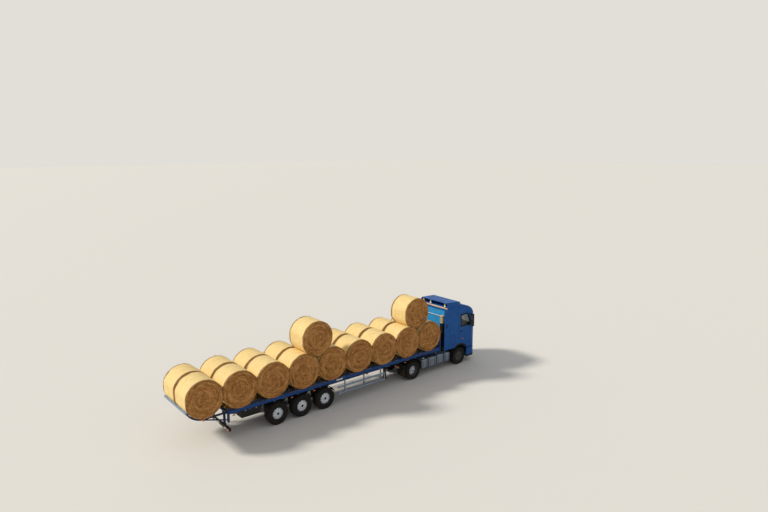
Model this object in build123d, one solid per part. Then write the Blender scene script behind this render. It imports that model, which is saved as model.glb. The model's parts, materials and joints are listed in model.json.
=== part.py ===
"""Articulated flatbed lorry carrying round bales.

Millimetres. +X is forward, +Y is the lorry's left and +Z is up. The origin lies on the ground, halfway
along the lorry and on its centre plane. The lorry stands straight and level on its wheels.
"""
from build123d import *
import math
import os

os.makedirs("parts", exist_ok=True)

# Overall and axle positions along the lorry
HALF_LENGTH = 8910
AXLE_PITCH = 1310
TRAILER_AXLES = {"rear": -3310 - AXLE_PITCH, "middle": -3310, "front": -3310 + AXLE_PITCH}
DRIVE_X = 3810
STEER_X = 7470
KINGPIN_X = DRIVE_X + 550

# Bales
BALE_R = 855
BALE_LENGTH = 1300
BALE_SEAM = 5
BALE_PITCH = 1634
BALE_PRESSED = 813
BALE_FIRST_X = -8080
BALE_PAIRS = 9
DECK_TOP = 1390
BALE_SAG = 17.5
BALE_Z = DECK_TOP + BALE_R - BALE_SAG

# Trailer
HALF_WIDTH = 1270
DECK_REAR = -7010
DECK_FRONT = 5810
DECK_THICK = 30
RAIL_DEPTH = 150
NECK_BREAK_X = 4610
NECK_FACE_Y = 1225
CROSS_TOP = DECK_TOP - DECK_THICK
CROSS_DEPTH = 110
BEAM_TOP = CROSS_TOP - CROSS_DEPTH
BEAM_BOTTOM = 830
NECK_BOTTOM = 1150
BEAM_Y = 490
BEAM_FLANGE = 140
PLATE_BOTTOM = NECK_BOTTOM - 12
HEADBOARD_TOP = 2150

# Wheels: tyre radius, tyre width, outer face
TRAILER_TYRE = (536, 385, 1232)
DRIVE_TYRE = (507, 300, 1235)
TWIN_PITCH = 330
STEER_TYRE = (507, 315, 1200)
RIM_R = 286
SPINDLE_R = 45
RUNNING_GAP = 0.05

# Tractor
CHASSIS_TOP = 1020
CHASSIS_BOTTOM = 760
CHASSIS_Y = 390
CHASSIS_REAR = 3000
CHASSIS_FRONT = 8680
FIFTH_WHEEL_TOP = PLATE_BOTTOM - 5
KNUCKLE_Y = 840

# Cab
CAB_REAR = 6590
CAB_FRONT = 8860
CAB_BOTTOM = 1100
CAB_HALF = 1250
CAB_ROOF = 3560
CAB_WALL = 60
FLOOR_Z = 1330
ROOF_SPLIT = 3300
DOOR_REAR = 7430
DOOR_FRONT = 8400
DOOR_BOTTOM = 1260
DOOR_TOP = 3080
GAP = 6

# How far an outline that is cut by others stands past them, so that no two share a plane
OVERLAP = 3

SIDES = {"left": 1, "right": -1}


def block(x, y, z):
    """A box from (low, high) pairs along X, Y and Z."""
    size = [high - low for low, high in (x, y, z)]
    centre = [(high + low) / 2 for low, high in (x, y, z)]
    return Pos(*centre) * Box(*size)


def outline_face(corners, radii=None):
    """A flat face inside corners, each rounded by its radius where radii are given."""
    if radii is None:
        return make_face(Polyline(*corners, close=True))
    return make_face(FilletPolyline(*corners, radius=radii, close=True))


def profile(points, y, radii=None):
    """An outline of (x, z) points drawn out along Y between two values."""
    face = outline_face([(px, y[0], pz) for px, pz in points], radii)
    return extrude(face, amount=y[1] - y[0], dir=(0, 1, 0))


def plan(points, z, radii=None):
    """An outline of (x, y) points drawn up between two heights."""
    face = outline_face([(px, py, z[0]) for px, py in points], radii)
    return extrude(face, amount=z[1] - z[0], dir=(0, 0, 1))


def front_view(points, x, radii=None):
    """An outline of (y, z) points drawn out along X between two values."""
    face = outline_face([(x[0], py, pz) for py, pz in points], radii)
    return extrude(face, amount=x[1] - x[0], dir=(1, 0, 0))


def symmetric(left, radii):
    """A left half of (place, y) or (y, place) corners with its mirrored half, and the radii of both."""
    right = [(px, -py) for px, py in reversed(left)]
    return left + right, radii + radii[::-1]


def rod_y(radius, x, z, y):
    """A round bar along Y."""
    return Pos(x, (y[0] + y[1]) / 2, z) * Rot(90, 0, 0) * Cylinder(radius, abs(y[1] - y[0]))


def rod_z(radius, x, y, z):
    """A round bar along Z."""
    return Pos(x, y, (z[0] + z[1]) / 2) * Cylinder(radius, z[1] - z[0])


def flip(shape):
    """The same shape on the lorry's other side."""
    return mirror(shape, about=Plane.XZ)


def both(shape):
    """A shape on the left and its copy on the right."""
    return [shape, flip(shape)]


def strut(start, end, depth, y):
    """A flat bar between two (x, z) points, with its depth square to its run."""
    run_x = end[0] - start[0]
    run_z = end[1] - start[1]
    run = math.hypot(run_x, run_z)
    side_x = -run_z / run * depth / 2
    side_z = run_x / run * depth / 2
    corners = [
        (start[0] + side_x, start[1] + side_z),
        (end[0] + side_x, end[1] + side_z),
        (end[0] - side_x, end[1] - side_z),
        (start[0] - side_x, start[1] - side_z),
    ]
    return profile(corners, y)


def arc_band(centre, radii, angles, y):
    """A curved plate about a Y axis, between two radii and two angles from +X towards +Z."""
    ring = rod_y(radii[1], *centre, y) - rod_y(radii[0], *centre, (y[0] - 1, y[1] + 1))
    reach = radii[1] * 2
    steps = 4
    fan = [centre]
    for step in range(steps + 1):
        angle = math.radians(angles[0] + (angles[1] - angles[0]) * step / steps)
        fan.append((centre[0] + reach * math.cos(angle), centre[1] + reach * math.sin(angle)))
    return ring & profile(fan, (y[0] - 1, y[1] + 1))


def save(name, *shapes):
    """Write one node."""
    solids = []
    for shape in shapes:
        solids.extend(shape.solids())
    export_step(Compound(children=solids), f"parts/{name}.step")


def spun(points, x, z):
    """A ring or disc turned about a Y axis from (radius, y) points."""
    wire = Polyline(*[(r, y, 0) for r, y in points], close=True)
    return Pos(x, 0, z) * revolve(make_face(wire), Axis.Y)


# Wheels

TYRE_FACETS = 40
TYRE_SEAT_GAP = 0.5


def facet_ring(radius, x, y, z):
    """The corners of a flat-sided ring about a Y axis, with a flat side at its foot."""
    corner = radius / math.cos(math.pi / TYRE_FACETS)
    first = math.pi / TYRE_FACETS - math.pi / 2
    angles = [first + math.tau * k / TYRE_FACETS for k in range(TYRE_FACETS)]
    return [(x + corner * math.cos(a), y, z + corner * math.sin(a)) for a in angles]


def tyre(x, radius, width, outer_y):
    """A tyre with a flat tread and bulged walls, on the left, in flat facets to keep it light."""
    middle = outer_y - width / 2
    half = width / 2
    points = [
        (RIM_R + TYRE_SEAT_GAP, middle - half * 0.86),
        (radius * 0.84, middle - half),
        (radius, middle - half * 0.84),
        (radius, middle + half * 0.84),
        (radius * 0.84, middle + half),
        (RIM_R + TYRE_SEAT_GAP, middle + half * 0.86),
    ]
    rings = [facet_ring(r, x, y, radius) for r, y in points]
    faces = []
    for near, far in zip(rings, rings[1:] + rings[:1]):
        for k in range(TYRE_FACETS):
            following = (k + 1) % TYRE_FACETS
            faces.append(outline_face([near[k], near[following], far[following], far[k]]).face())
    return Solid(Shell(faces))


HAND_HOLES = 10
HAND_HOLE_R = 226
HAND_HOLE = (54, 40)


def hand_holes(x, radius, y):
    """The ring of oblong holes through a wheel's disc."""
    tall, wide = HAND_HOLE
    cutters = []
    for k in range(HAND_HOLES):
        angle = 360 * k / HAND_HOLES
        slot = Rot(0, angle, 0) * Pos(HAND_HOLE_R, 0, 0) * Box(wide, y[1] - y[0], tall)
        cutters.append(Pos(x, (y[0] + y[1]) / 2, radius) * slot)
    return cutters


def rim(x, radius, width, outer_y, disc_y, hub_y, bore_end):
    """A rim well with its disc, drum and hub cap, on the left."""
    middle = outer_y - width / 2
    half = width / 2 * 0.86
    bore = SPINDLE_R + RUNNING_GAP
    points = [
        (RIM_R, middle - half),
        (RIM_R, middle + half),
        (RIM_R - 18, middle + half),
        (RIM_R - 30, disc_y),
        (130, disc_y),
        (120, hub_y),
        (0, hub_y),
        (0, bore_end),
        (bore, bore_end),
        (bore, middle - half * 0.9),
        (205, middle - half * 0.9),
        (205, disc_y - 40),
        (RIM_R - 34, disc_y - 40),
        (RIM_R - 20, middle - half),
    ]
    body = spun(points, x, radius)
    for cutter in hand_holes(x, radius, (disc_y - 28, disc_y + 1)):
        body -= cutter
    return body


for name, x in TRAILER_AXLES.items():
    wheel_tyre = tyre(x, *TRAILER_TYRE)
    wheel_rim = rim(x, *TRAILER_TYRE, disc_y=1172, hub_y=1215, bore_end=1150)
    save(f"tyre_trailer_{name}_left", wheel_tyre)
    save(f"tyre_trailer_{name}_right", flip(wheel_tyre))
    save(f"rim_trailer_{name}_left", wheel_rim)
    save(f"rim_trailer_{name}_right", flip(wheel_rim))

drive_radius, drive_width, drive_outer = DRIVE_TYRE
drive_inner = drive_outer - TWIN_PITCH
twin_tyres = [tyre(DRIVE_X, drive_radius, drive_width, face) for face in (drive_outer, drive_inner)]
drive_half = drive_width / 2 * 0.86
drive_mid = drive_outer - drive_width / 2
inner_mid = drive_mid - TWIN_PITCH
drive_bore = SPINDLE_R + RUNNING_GAP
DRIVE_RIM = [
    (RIM_R, inner_mid - drive_half),
    (RIM_R, drive_mid + drive_half),
    (RIM_R - 16, drive_mid + drive_half),
    (RIM_R - 34, drive_mid - 10),
    (210, drive_mid - 25),
    (120, drive_mid - 25),
    (110, drive_outer - 20),
    (0, drive_outer - 20),
    (0, drive_mid + 60),
    (drive_bore, drive_mid + 60),
    (drive_bore, inner_mid - drive_half),
]
twin_rim = spun(DRIVE_RIM, DRIVE_X, drive_radius)

steer_radius, steer_width, steer_outer = STEER_TYRE
steer_tyre = tyre(STEER_X, *STEER_TYRE)
STEER_DISC_Y = steer_outer - 48
STEER_BORE_END = STEER_DISC_Y - 20
steer_mid = steer_outer - steer_width / 2
steer_half = steer_width / 2 * 0.86
STEER_RIM = [
    (RIM_R, steer_mid - steer_half),
    (RIM_R, steer_mid + steer_half),
    (RIM_R - 18, steer_mid + steer_half),
    (RIM_R - 30, STEER_DISC_Y),
    (130, STEER_DISC_Y),
    (120, steer_outer - 8),
    (0, steer_outer - 8),
    (0, STEER_BORE_END),
    (drive_bore, STEER_BORE_END),
    (drive_bore, 960),
    (190, 960),
    (190, STEER_DISC_Y - 40),
    (RIM_R - 34, STEER_DISC_Y - 40),
    (RIM_R - 20, steer_mid - steer_half),
]
steer_rim = spun(STEER_RIM, STEER_X, steer_radius)
for cutter in hand_holes(STEER_X, steer_radius, (STEER_DISC_Y - 28, STEER_DISC_Y + 1)):
    steer_rim -= cutter
for name, shapes in {
    "tyre_drive": twin_tyres,
    "rim_drive": [twin_rim],
    "tyre_steer": [steer_tyre],
    "rim_steer": [steer_rim],
}.items():
    save(f"{name}_left", *shapes)
    save(f"{name}_right", *[flip(shape) for shape in shapes])


# Bales

def bale(x, y, floor=None):
    """A round bale lying across the deck, pressed flat by its neighbours and where it rests on a floor."""
    foot = BALE_Z - BALE_R - 1 if floor is None else floor
    body = rod_y(BALE_R, x, BALE_Z, y)
    pressed = block((x - BALE_PRESSED, x + BALE_PRESSED), (y[0] - 1, y[1] + 1), (foot, BALE_Z + BALE_R + 1))
    return body & pressed


bale_xs = [BALE_FIRST_X + BALE_PITCH * i for i in range(BALE_PAIRS)]
lower = []
for x in bale_xs:
    floor = DECK_TOP if x - BALE_R * 0.25 > DECK_REAR else None
    left = bale(x, (BALE_SEAM, BALE_SEAM + BALE_LENGTH), floor)
    lower.extend(both(left))
save("bales_lower", *lower)

VALLEY_RISE = 1427.5
VALLEY_GAP = 3
TOP_BALES = [
    # pair behind the valley, right end
    (3, -1270),
    (7, -1150),
]
top_bales = []
for pair, end in TOP_BALES:
    y = (end, end + BALE_LENGTH)
    top_bale = rod_y(BALE_R, bale_xs[pair] + BALE_PITCH / 2, BALE_Z + VALLEY_RISE, y)
    for x in bale_xs[pair:pair + 2]:
        top_bale -= rod_y(BALE_R + VALLEY_GAP, x, BALE_Z, (end - 1, end + BALE_LENGTH + 1))
    top_bales.append(top_bale)
save("bales_top", *top_bales)


# Trailer

NECK_REAR = 2850
FLANGE = 16
WEB = 14


def beam_outline(inset, past):
    """The main beam's side view behind the neck, moved in from its flanges and out past its ends."""
    return [
        (DECK_REAR - past, BEAM_TOP - inset),
        (NECK_REAR + past, BEAM_TOP - inset),
        (NECK_REAR + past, NECK_BOTTOM + inset),
        (2350, BEAM_BOTTOM + inset),
        (-6400, BEAM_BOTTOM + inset),
        (DECK_REAR - past, 1010 + inset),
    ]


def i_beam(solid, pocket):
    """A solid beam with the pockets beside its web cut out."""
    for y in ((BEAM_Y + WEB / 2, BEAM_Y + BEAM_FLANGE), (BEAM_Y - BEAM_FLANGE, BEAM_Y - WEB / 2)):
        solid -= profile(pocket, y)
    return solid


beam_y = (BEAM_Y - BEAM_FLANGE / 2, BEAM_Y + BEAM_FLANGE / 2)
main_beam = i_beam(profile(beam_outline(0, 0), beam_y), beam_outline(FLANGE, 1))
neck_pocket = [
    (NECK_REAR - 1, NECK_BOTTOM + FLANGE),
    (DECK_FRONT + 1, NECK_BOTTOM + FLANGE),
    (DECK_FRONT + 1, BEAM_TOP - FLANGE),
    (NECK_REAR - 1, BEAM_TOP - FLANGE),
]
neck_beam = i_beam(block((NECK_REAR, DECK_FRONT), beam_y, (NECK_BOTTOM, BEAM_TOP)), neck_pocket)
CROSS_COUNT = 13
CROSS_WIDTH = 70
crosses = []
for i in range(CROSS_COUNT):
    x = DECK_REAR + 60 + (DECK_FRONT - DECK_REAR - 120) * i / (CROSS_COUNT - 1)
    crosses.append(block((x - CROSS_WIDTH / 2, x + CROSS_WIDTH / 2), (-1200, 1200), (BEAM_TOP, CROSS_TOP)))
coupling_plate = block((3700, 5400), (-560, 560), (PLATE_BOTTOM, NECK_BOTTOM))
coupling_plate += rod_z(25.4, KINGPIN_X, 0, (1052, PLATE_BOTTOM))
save("trailer_frame", *both(main_beam), *both(neck_beam), coupling_plate, *crosses)

save("deck_floor", block((DECK_REAR, DECK_FRONT), (-1200, 1200), (CROSS_TOP, DECK_TOP)))

side_rail = block((DECK_REAR, NECK_BREAK_X), (1200, HALF_WIDTH), (DECK_TOP - RAIL_DEPTH, DECK_TOP))
side_rail += block((NECK_BREAK_X, DECK_FRONT), (1200, NECK_FACE_Y), (1190, DECK_TOP))
save("side_rails", *both(side_rail))

headboard = block((DECK_FRONT, DECK_FRONT + 25), (-1250, 1250), (1190, HEADBOARD_TOP))
for y in (-1210, -420, 420, 1210):
    headboard += block((DECK_FRONT, DECK_FRONT + 60), (y - 40, y + 40), (1190, HEADBOARD_TOP))
save("headboard", headboard)

ARM_IN = BALE_R + 6
ARM_OUT = ARM_IN + 70
RACK_REAR = -HALF_LENGTH
BAR_Z = 1800
ARM_YS = (430, 1125)
BAR_HALF = 1200
arm_straight = block((BALE_FIRST_X, DECK_REAR), (0, 70), (BALE_Z - ARM_OUT, BALE_Z - ARM_IN))
arm_curve = arc_band((BALE_FIRST_X, BALE_Z), (ARM_IN, ARM_OUT), (208, 270), (0, 70))
arm = arm_straight + arm_curve
rack = block((RACK_REAR, RACK_REAR + 58), (-BAR_HALF, BAR_HALF), (BAR_Z - 45, BAR_Z + 45))
POST = (DECK_REAR - 80, DECK_REAR)
for y in ARM_YS:
    for piece in both(Pos(0, y, 0) * arm):
        rack += piece
for piece in both(block(POST, (1150, HALF_WIDTH), (880, 1500))):
    rack += piece
for piece in both(strut((POST[0] + 40, 990), (BALE_FIRST_X - 110, 1330), 45, (1180, 1230))):
    rack += piece
rack += block(POST, (-1160, 1160), (1240, BALE_Z - ARM_OUT + 30))
for piece in both(block((-7010, -6900), (560, 600), (440, 1248))):
    rack += piece
rack += block((-7060, -6960), (-1240, 1240), (440, 560))
save("rear_rack", rack)
save("rear_lamps", *both(block((-7085, -7060), (800, 1220), (452, 548))))

axles = []
for x in TRAILER_AXLES.values():
    tyre_r = TRAILER_TYRE[0]
    axle = rod_y(70, x, tyre_r, (-850, 850)) + rod_y(SPINDLE_R, x, tyre_r, (-1148, 1148))
    for side in (-1, 1):
        y = (side * BEAM_Y - 50, side * BEAM_Y + 50)
        axle += strut((x + 480, 640), (x - 60, tyre_r - 20), 90, y)
        axle += block((x + 430, x + 550), y, (590, BEAM_BOTTOM))
        axle += block((x - 330, x), y, (tyre_r - 70, tyre_r - 20))
        axle += rod_z(120, x - 230, side * BEAM_Y, (tyre_r - 30, BEAM_BOTTOM))
    axles.append(axle)
save("trailer_axles", *axles)

guards = []
for x in TRAILER_AXLES.values():
    guard = arc_band((x, TRAILER_TYRE[0]), (596, 608), (25, 155), (850, 1245))
    guard += block((x - 20, x + 20), (556, 860), (TRAILER_TYRE[0] + 596, TRAILER_TYRE[0] + 640))
    guards.extend(both(guard))
save("trailer_mudguards", *guards)

GUARD_X = (-1260, 1760)
guard_rail = block(GUARD_X, (1215, 1240), (850, 950))
guard_rail += block(GUARD_X, (1215, 1240), (520, 620))
guard_rail += block((GUARD_X[1] - 60, GUARD_X[1]), (1215, 1240), (520, 950))
for x in (-800, 400, 1500):
    guard_rail += block((x - 30, x + 30), (1175, 1215), (520, DECK_TOP - RAIL_DEPTH))
save("side_guards", *both(guard_rail))

LEG_X = 2090
leg = block((LEG_X - 60, LEG_X + 60), (760, 880), (420, BEAM_TOP))
leg += block((LEG_X - 110, LEG_X + 110), (720, 920), (390, 420))
leg += block((LEG_X - 40, LEG_X + 40), (560, 760), (900, 1100))
save("landing_legs", leg, flip(leg), rod_y(20, LEG_X, 1000, (WEB / 2 - BEAM_Y, BEAM_Y - WEB / 2)))

BOX_X = (-6440, -5510)
BOX_Y = (-1225, -700)
BOX_Z = (870, 1240)
WALL = 12
toolbox = block(BOX_X, (BOX_Y[0] + WALL + 2, BOX_Y[1]), BOX_Z)
box_inside = [(low + WALL, high - WALL) for low, high in (BOX_X, BOX_Z)]
toolbox -= block(box_inside[0], (BOX_Y[0] - 1, BOX_Y[1] - WALL), box_inside[1])
save("toolbox", toolbox)
save("toolbox_lid", block(BOX_X, (BOX_Y[0], BOX_Y[0] + WALL), BOX_Z))


# Tractor

CHANNEL = 8
chassis_run = (CHASSIS_REAR, CHASSIS_FRONT)
chassis_rail = block(chassis_run, (CHASSIS_Y - 40, CHASSIS_Y + 40), (CHASSIS_BOTTOM, CHASSIS_TOP))
channel_z = (CHASSIS_BOTTOM + CHANNEL, CHASSIS_TOP - CHANNEL)
chassis_rail -= block(chassis_run, (0, CHASSIS_Y + 40 - CHANNEL), channel_z)
tractor_frame = chassis_rail + flip(chassis_rail)
for x in (3040, 3420, 4300, 5100, 5840, 8600):
    cross_y = (-CHASSIS_Y - 35, CHASSIS_Y + 35)
    tractor_frame += block((x - 40, x + 40), cross_y, (CHASSIS_BOTTOM + 40, CHASSIS_TOP - 30))
CATWALK = (6380, 6560)
tractor_frame += block(CATWALK, (-860, 860), (CHASSIS_TOP, 1080))
tractor_frame += block((6400, 6540), (-850, -650), (1080, 2600))
snorkel_head = block((6390, 6560), (-860, -640), (2600, 3200))
tractor_frame += fillet(snorkel_head.edges().filter_by(Axis.Z), 50)
for y in (-420, 420):
    tractor_frame += block((6430, 6510), (y - 40, y + 40), (1080, 1750))
tractor_frame += block((6430, 6510), (-420, 420), (1690, 1750))
save("tractor_frame", tractor_frame)

plate = block((KINGPIN_X - 480, KINGPIN_X + 330), (-430, 430), (FIFTH_WHEEL_TOP - 40, FIFTH_WHEEL_TOP))
plate -= rod_z(25.9, KINGPIN_X, 0, (FIFTH_WHEEL_TOP - 41, FIFTH_WHEEL_TOP + 1))
plate -= plan(
    [(KINGPIN_X, 25.9), (KINGPIN_X - 481, 150), (KINGPIN_X - 481, -150), (KINGPIN_X, -25.9)],
    (FIFTH_WHEEL_TOP - 41, FIFTH_WHEEL_TOP + 1),
)
for side in (-1, 1):
    bracket_y = sorted((side * 350, side * 430))
    plate += block((KINGPIN_X - 160, KINGPIN_X + 160), bracket_y, (CHASSIS_TOP, FIFTH_WHEEL_TOP - 40))
save("fifth_wheel", plate)

engine = block((6900, 8200), (-330, 330), (560, 1250))
engine += block((5900, 6900), (-220, 220), (600, 1000))
save("engine", engine)

drive_axle = rod_y(75, DRIVE_X, drive_radius, (-540, 540)) + Pos(DRIVE_X, 0, drive_radius) * Sphere(210)
drive_axle += rod_y(SPINDLE_R, DRIVE_X, drive_radius, (-(drive_mid + 58), drive_mid + 58))
for side in (-1, 1):
    y = (side * 480 - 40, side * 480 + 40)
    drive_axle += block((DRIVE_X - 500, DRIVE_X + 500), y, (drive_radius - 60, drive_radius + 10))
    for x in (DRIVE_X - 420, DRIVE_X + 420):
        drive_axle += block((x - 60, x + 60), y, (drive_radius - 50, CHASSIS_TOP - 100))
steer_beam = profile(
    [(STEER_X - 45, 440), (STEER_X + 45, 440), (STEER_X + 45, 520), (STEER_X - 45, 520)],
    (-(KNUCKLE_Y - 15), KNUCKLE_Y - 15),
)
for side in (-1, 1):
    steer_beam += rod_z(40, STEER_X, side * KNUCKLE_Y, (steer_radius - 75, steer_radius + 75))
    steer_beam -= rod_z(20.05, STEER_X, side * KNUCKLE_Y, (300, 800))
    y = (side * CHASSIS_Y - 35, side * CHASSIS_Y + 35)
    steer_beam += block((STEER_X - 700, STEER_X + 700), y, (500, 560))
    for x in (STEER_X - 660, STEER_X + 660):
        steer_beam += block((x - 40, x + 40), y, (560, CHASSIS_BOTTOM))
save("tractor_axles", drive_axle, steer_beam)

LUG_NEAR = 78
LUG_FAR = 110
knuckle_z = (steer_radius - LUG_FAR, steer_radius + LUG_FAR)
knuckle = block((STEER_X - 40, STEER_X + 40), (KNUCKLE_Y + 50, KNUCKLE_Y + 90), knuckle_z)
knuckle += rod_z(20, STEER_X, KNUCKLE_Y, knuckle_z)
for lug_z in ((knuckle_z[0], steer_radius - LUG_NEAR), (steer_radius + LUG_NEAR, knuckle_z[1])):
    knuckle += rod_z(46, STEER_X, KNUCKLE_Y, lug_z)
    knuckle += block((STEER_X - 30, STEER_X + 30), (KNUCKLE_Y, KNUCKLE_Y + 60), lug_z)
knuckle += rod_y(SPINDLE_R, STEER_X, steer_radius, (KNUCKLE_Y + 60, STEER_BORE_END - 2))
save("knuckle_left", knuckle)
save("knuckle_right", flip(knuckle))

TANKS = [
    # rear, front
    (4430, 4935),
    (4965, 5575),
    (5605, 6185),
    (6215, 6670),
]
tanks = []
for rear, front in TANKS:
    tank = block((rear, front), (620, 1225), (400, 950))
    tank = fillet([e for e in tank.edges().filter_by(Axis.X) if e.center().Y > 900], 90)
    tanks.extend(both(tank))
save("tanks", *tanks)

mudguards = []
drive_guard = arc_band((DRIVE_X, drive_radius), (560, 572), (15, 165), (580, 1240))
drive_guard += block((DRIVE_X - 20, DRIVE_X + 20), (430, 590), (CHASSIS_TOP - 40, CHASSIS_TOP - 10))
drive_guard += block((DRIVE_X - 20, DRIVE_X + 20), (560, 600), (CHASSIS_TOP - 40, drive_radius + 565))
mudguards.extend(both(drive_guard))
steer_guard = arc_band((STEER_X, steer_radius), (640, 652), (28, 152), (640, 1180))
steer_guard += block((STEER_X - 560, STEER_X - 500), (430, 660), (CHASSIS_BOTTOM + 60, CHASSIS_BOTTOM + 100))
mudguards.extend(both(steer_guard))
save("tractor_mudguards", *mudguards)

FRONT_CURVE = [(8480, 1250), (8680, 1190), (8790, 1060), (8865, 800), (HALF_LENGTH, 300)]
FRONT_RADII = [250, 120, 180, 500, 900]
BUMPER_REAR = 8060
BUMPER_Z = (320, 870)


def bumper_plan(inset, rear):
    """The bumper's outline seen from above, moved inwards by an inset, with its radii."""
    left = [(rear, 1250 - inset)] + [(x - inset, y - inset) for x, y in FRONT_CURVE]
    return symmetric(left, [5] + FRONT_RADII)


def bumper_solid(inset, rear, z):
    """The bumper's outline drawn up between two heights."""
    corners, radii = bumper_plan(inset, rear)
    return plan(corners, z, radii)


bumper_shell = bumper_solid(0, BUMPER_REAR, (BUMPER_Z[0] - OVERLAP, BUMPER_Z[1] + OVERLAP))
bumper_low, bumper_high = BUMPER_Z
bumper_nose = HALF_LENGTH + OVERLAP
bumper_shell &= profile(
    [(BUMPER_REAR, bumper_low), (8850, bumper_low), (bumper_nose, 400), (bumper_nose, bumper_high),
     (BUMPER_REAR, bumper_high)], (-1300, 1300), [5, 60, 60, 25, 5])
bumper_side = 1250 + OVERLAP
bumper_left = [(bumper_side, bumper_low - OVERLAP), (bumper_side, bumper_high + OVERLAP)]
bumper_right = [(-y, z) for y, z in reversed(bumper_left)]
bumper_shell &= front_view(
    bumper_left + bumper_right, (BUMPER_REAR - OVERLAP, bumper_nose + OVERLAP), [45, 20, 20, 45])
inner = bumper_solid(60, BUMPER_REAR - 1, (BUMPER_Z[0] - 10, BUMPER_Z[1] + 10))
LAMP_BOX = both(block((8650, 9000), (760, 1200), (560, 760)))
lamps = [(bumper_shell - inner) & box for box in LAMP_BOX]
bumper = bumper_shell - inner
for box in LAMP_BOX:
    bumper -= box
SOCKET = (-520, 430)
SOCKET_R = 20
socket = block((8790, 8880), (SOCKET[0] - 45, SOCKET[0] + 45), (SOCKET[1] - 45, SOCKET[1] + 45))
bumper += socket
bumper -= Pos(8840, SOCKET[0], SOCKET[1]) * Rot(0, 90, 0) * Cylinder(SOCKET_R, 160)
bumper += block((8600, 8860), (-CHASSIS_Y - 60, CHASSIS_Y + 60), (620, 740))
AIR_SLOT = (8870, 9000)
for z in (470, 540):
    bumper -= block(AIR_SLOT, (-700, 700), (z, z + 40)) - socket
for sign in (-1, 1):
    y = sorted((sign * 860, sign * 1195))
    bumper += block((8130, 8560), y, (340, 400))
    bumper += block((8130, 8560), y, (640, 690))
    bumper += block((8500, 8560), y, (340, 850))
save("bumper", bumper)
save("headlamps", *lamps)


# Cab

CAB_FOOT = 930
CAB_SIDE_VIEW = [
    # x, z, how far each moves in per unit of inset, radius
    (CAB_REAR, CAB_BOTTOM, 1, 0, 10),
    (STEER_X, CAB_BOTTOM, 0, 0, 5),
    (STEER_X, CAB_FOOT, 0, 0, 5),
    (CAB_FRONT + OVERLAP, CAB_FOOT, -1, 0, 10),
    (CAB_FRONT + OVERLAP, 2080, -1, 0, 400),
    (8600, 3020, -1, 0, 300),
    (8430, 3260, -1, 0, 250),
    (8180, 3430, -1, -1, 400),
    (7600, CAB_ROOF, 0, -1, 800),
    (CAB_REAR, CAB_ROOF - 20, 1, -1, 40),
]
CAB_PLAN = [
    # x, y, radius, on the left half
    (CAB_REAR - OVERLAP, CAB_HALF + OVERLAP, 40),
    (8480, CAB_HALF + OVERLAP, 300),
    (8670, 1190, 150),
    (8770, 1060, 200),
    (8835, 780, 500),
    (CAB_FRONT, 300, 900),
]
CAB_FRONT_VIEW = [
    # y, z, whether the height moves in too, radius, on the left half
    (CAB_HALF, CAB_FOOT - 60, 0, 10),
    (CAB_HALF, 2300, 0, 900),
    (1225, 3350, 0, 150),
    (1150, 3480, 1, 150),
    (1000, CAB_ROOF + 5, 1, 150),
]
CAB_OPEN_FOOT = 50


def cab_volume(inset):
    """The cab's outer form, or its inside when an inset is given."""
    foot = CAB_OPEN_FOOT if inset else 0
    side_view = [(x + inset * move_x, z + inset * move_z) for x, z, move_x, move_z, _ in CAB_SIDE_VIEW]
    side_view[:4] = [(x, z - foot) for x, z in side_view[:4]]
    body = profile(side_view, (-1400, 1400), [row[-1] for row in CAB_SIDE_VIEW])
    rear_x, rear_y, _ = CAB_PLAN[0]
    left = [(rear_x + inset, rear_y - inset)] + [(x - inset, y - inset) for x, y, _ in CAB_PLAN[1:]]
    corners, radii = symmetric(left, [row[-1] for row in CAB_PLAN])
    body &= plan(corners, (800, 4000), radii)
    left = [(y - inset, z - inset * move_z) for y, z, move_z, _ in CAB_FRONT_VIEW]
    right = [(-y, z) for y, z in reversed(left)]
    radii = [row[-1] for row in CAB_FRONT_VIEW]
    body &= front_view(left + right, (6000, 9200), radii + radii[::-1])
    return body


WHEEL_ARCH_R = 700
shell = cab_volume(0) - cab_volume(CAB_WALL)
shell -= rod_y(WHEEL_ARCH_R, STEER_X, steer_radius, (-1400, 1400))
SCREEN_Z = (2130, 3040)
SCREEN_Y = 1130
screen_cut = block((8450, 9100), (-SCREEN_Y, SCREEN_Y), SCREEN_Z)
WINDOW = [(7560, 2310), (8290, 2300), (8290, 2560), (8120, 2970), (7560, 2970)]

roof = shell & block((6000, 9200), (-1400, 1400), (ROOF_SPLIT, 4000))
rest = shell & block((6000, 9200), (-1400, 1400), (900, ROOF_SPLIT))
FRONT_SPLIT = 8450
front = rest & block((FRONT_SPLIT, 9200), (-1400, 1400), (900, ROOF_SPLIT))
front -= screen_cut
GRILLE_X = (CAB_FRONT - 38, 9000)
GRILLE_HALF = 720
GRILLE_SLOTS = [1180 + 110 * i for i in range(7)]
for z in GRILLE_SLOTS:
    front -= block(GRILLE_X, (-GRILLE_HALF, GRILLE_HALF), (z, z + 62))
REAR_SPLIT = CAB_REAR + CAB_WALL
rear_wall = rest & block((CAB_REAR - 1, REAR_SPLIT), (-1400, 1400), (900, ROOF_SPLIT))
sides = {}
doors = {}
glasses = {}
for side, sign in SIDES.items():
    y_range = sorted((sign * 1000, sign * 1400))
    whole = rest & block((REAR_SPLIT, FRONT_SPLIT), y_range, (900, ROOF_SPLIT))
    opening = block((DOOR_REAR - GAP, DOOR_FRONT + GAP), y_range, (DOOR_BOTTOM - GAP, DOOR_TOP + GAP))
    leaf = block((DOOR_REAR, DOOR_FRONT), y_range, (DOOR_BOTTOM, DOOR_TOP))
    window = profile(WINDOW, y_range)
    sides[side] = whole - opening
    doors[side] = (whole & leaf) - window
    pane = cab_volume(24) - cab_volume(32)
    glasses[side] = pane & window
save("cab_roof", roof)
save("cab_front", front)
save("cab_rear_wall", rear_wall)
ARCH_LIP = 14
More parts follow.
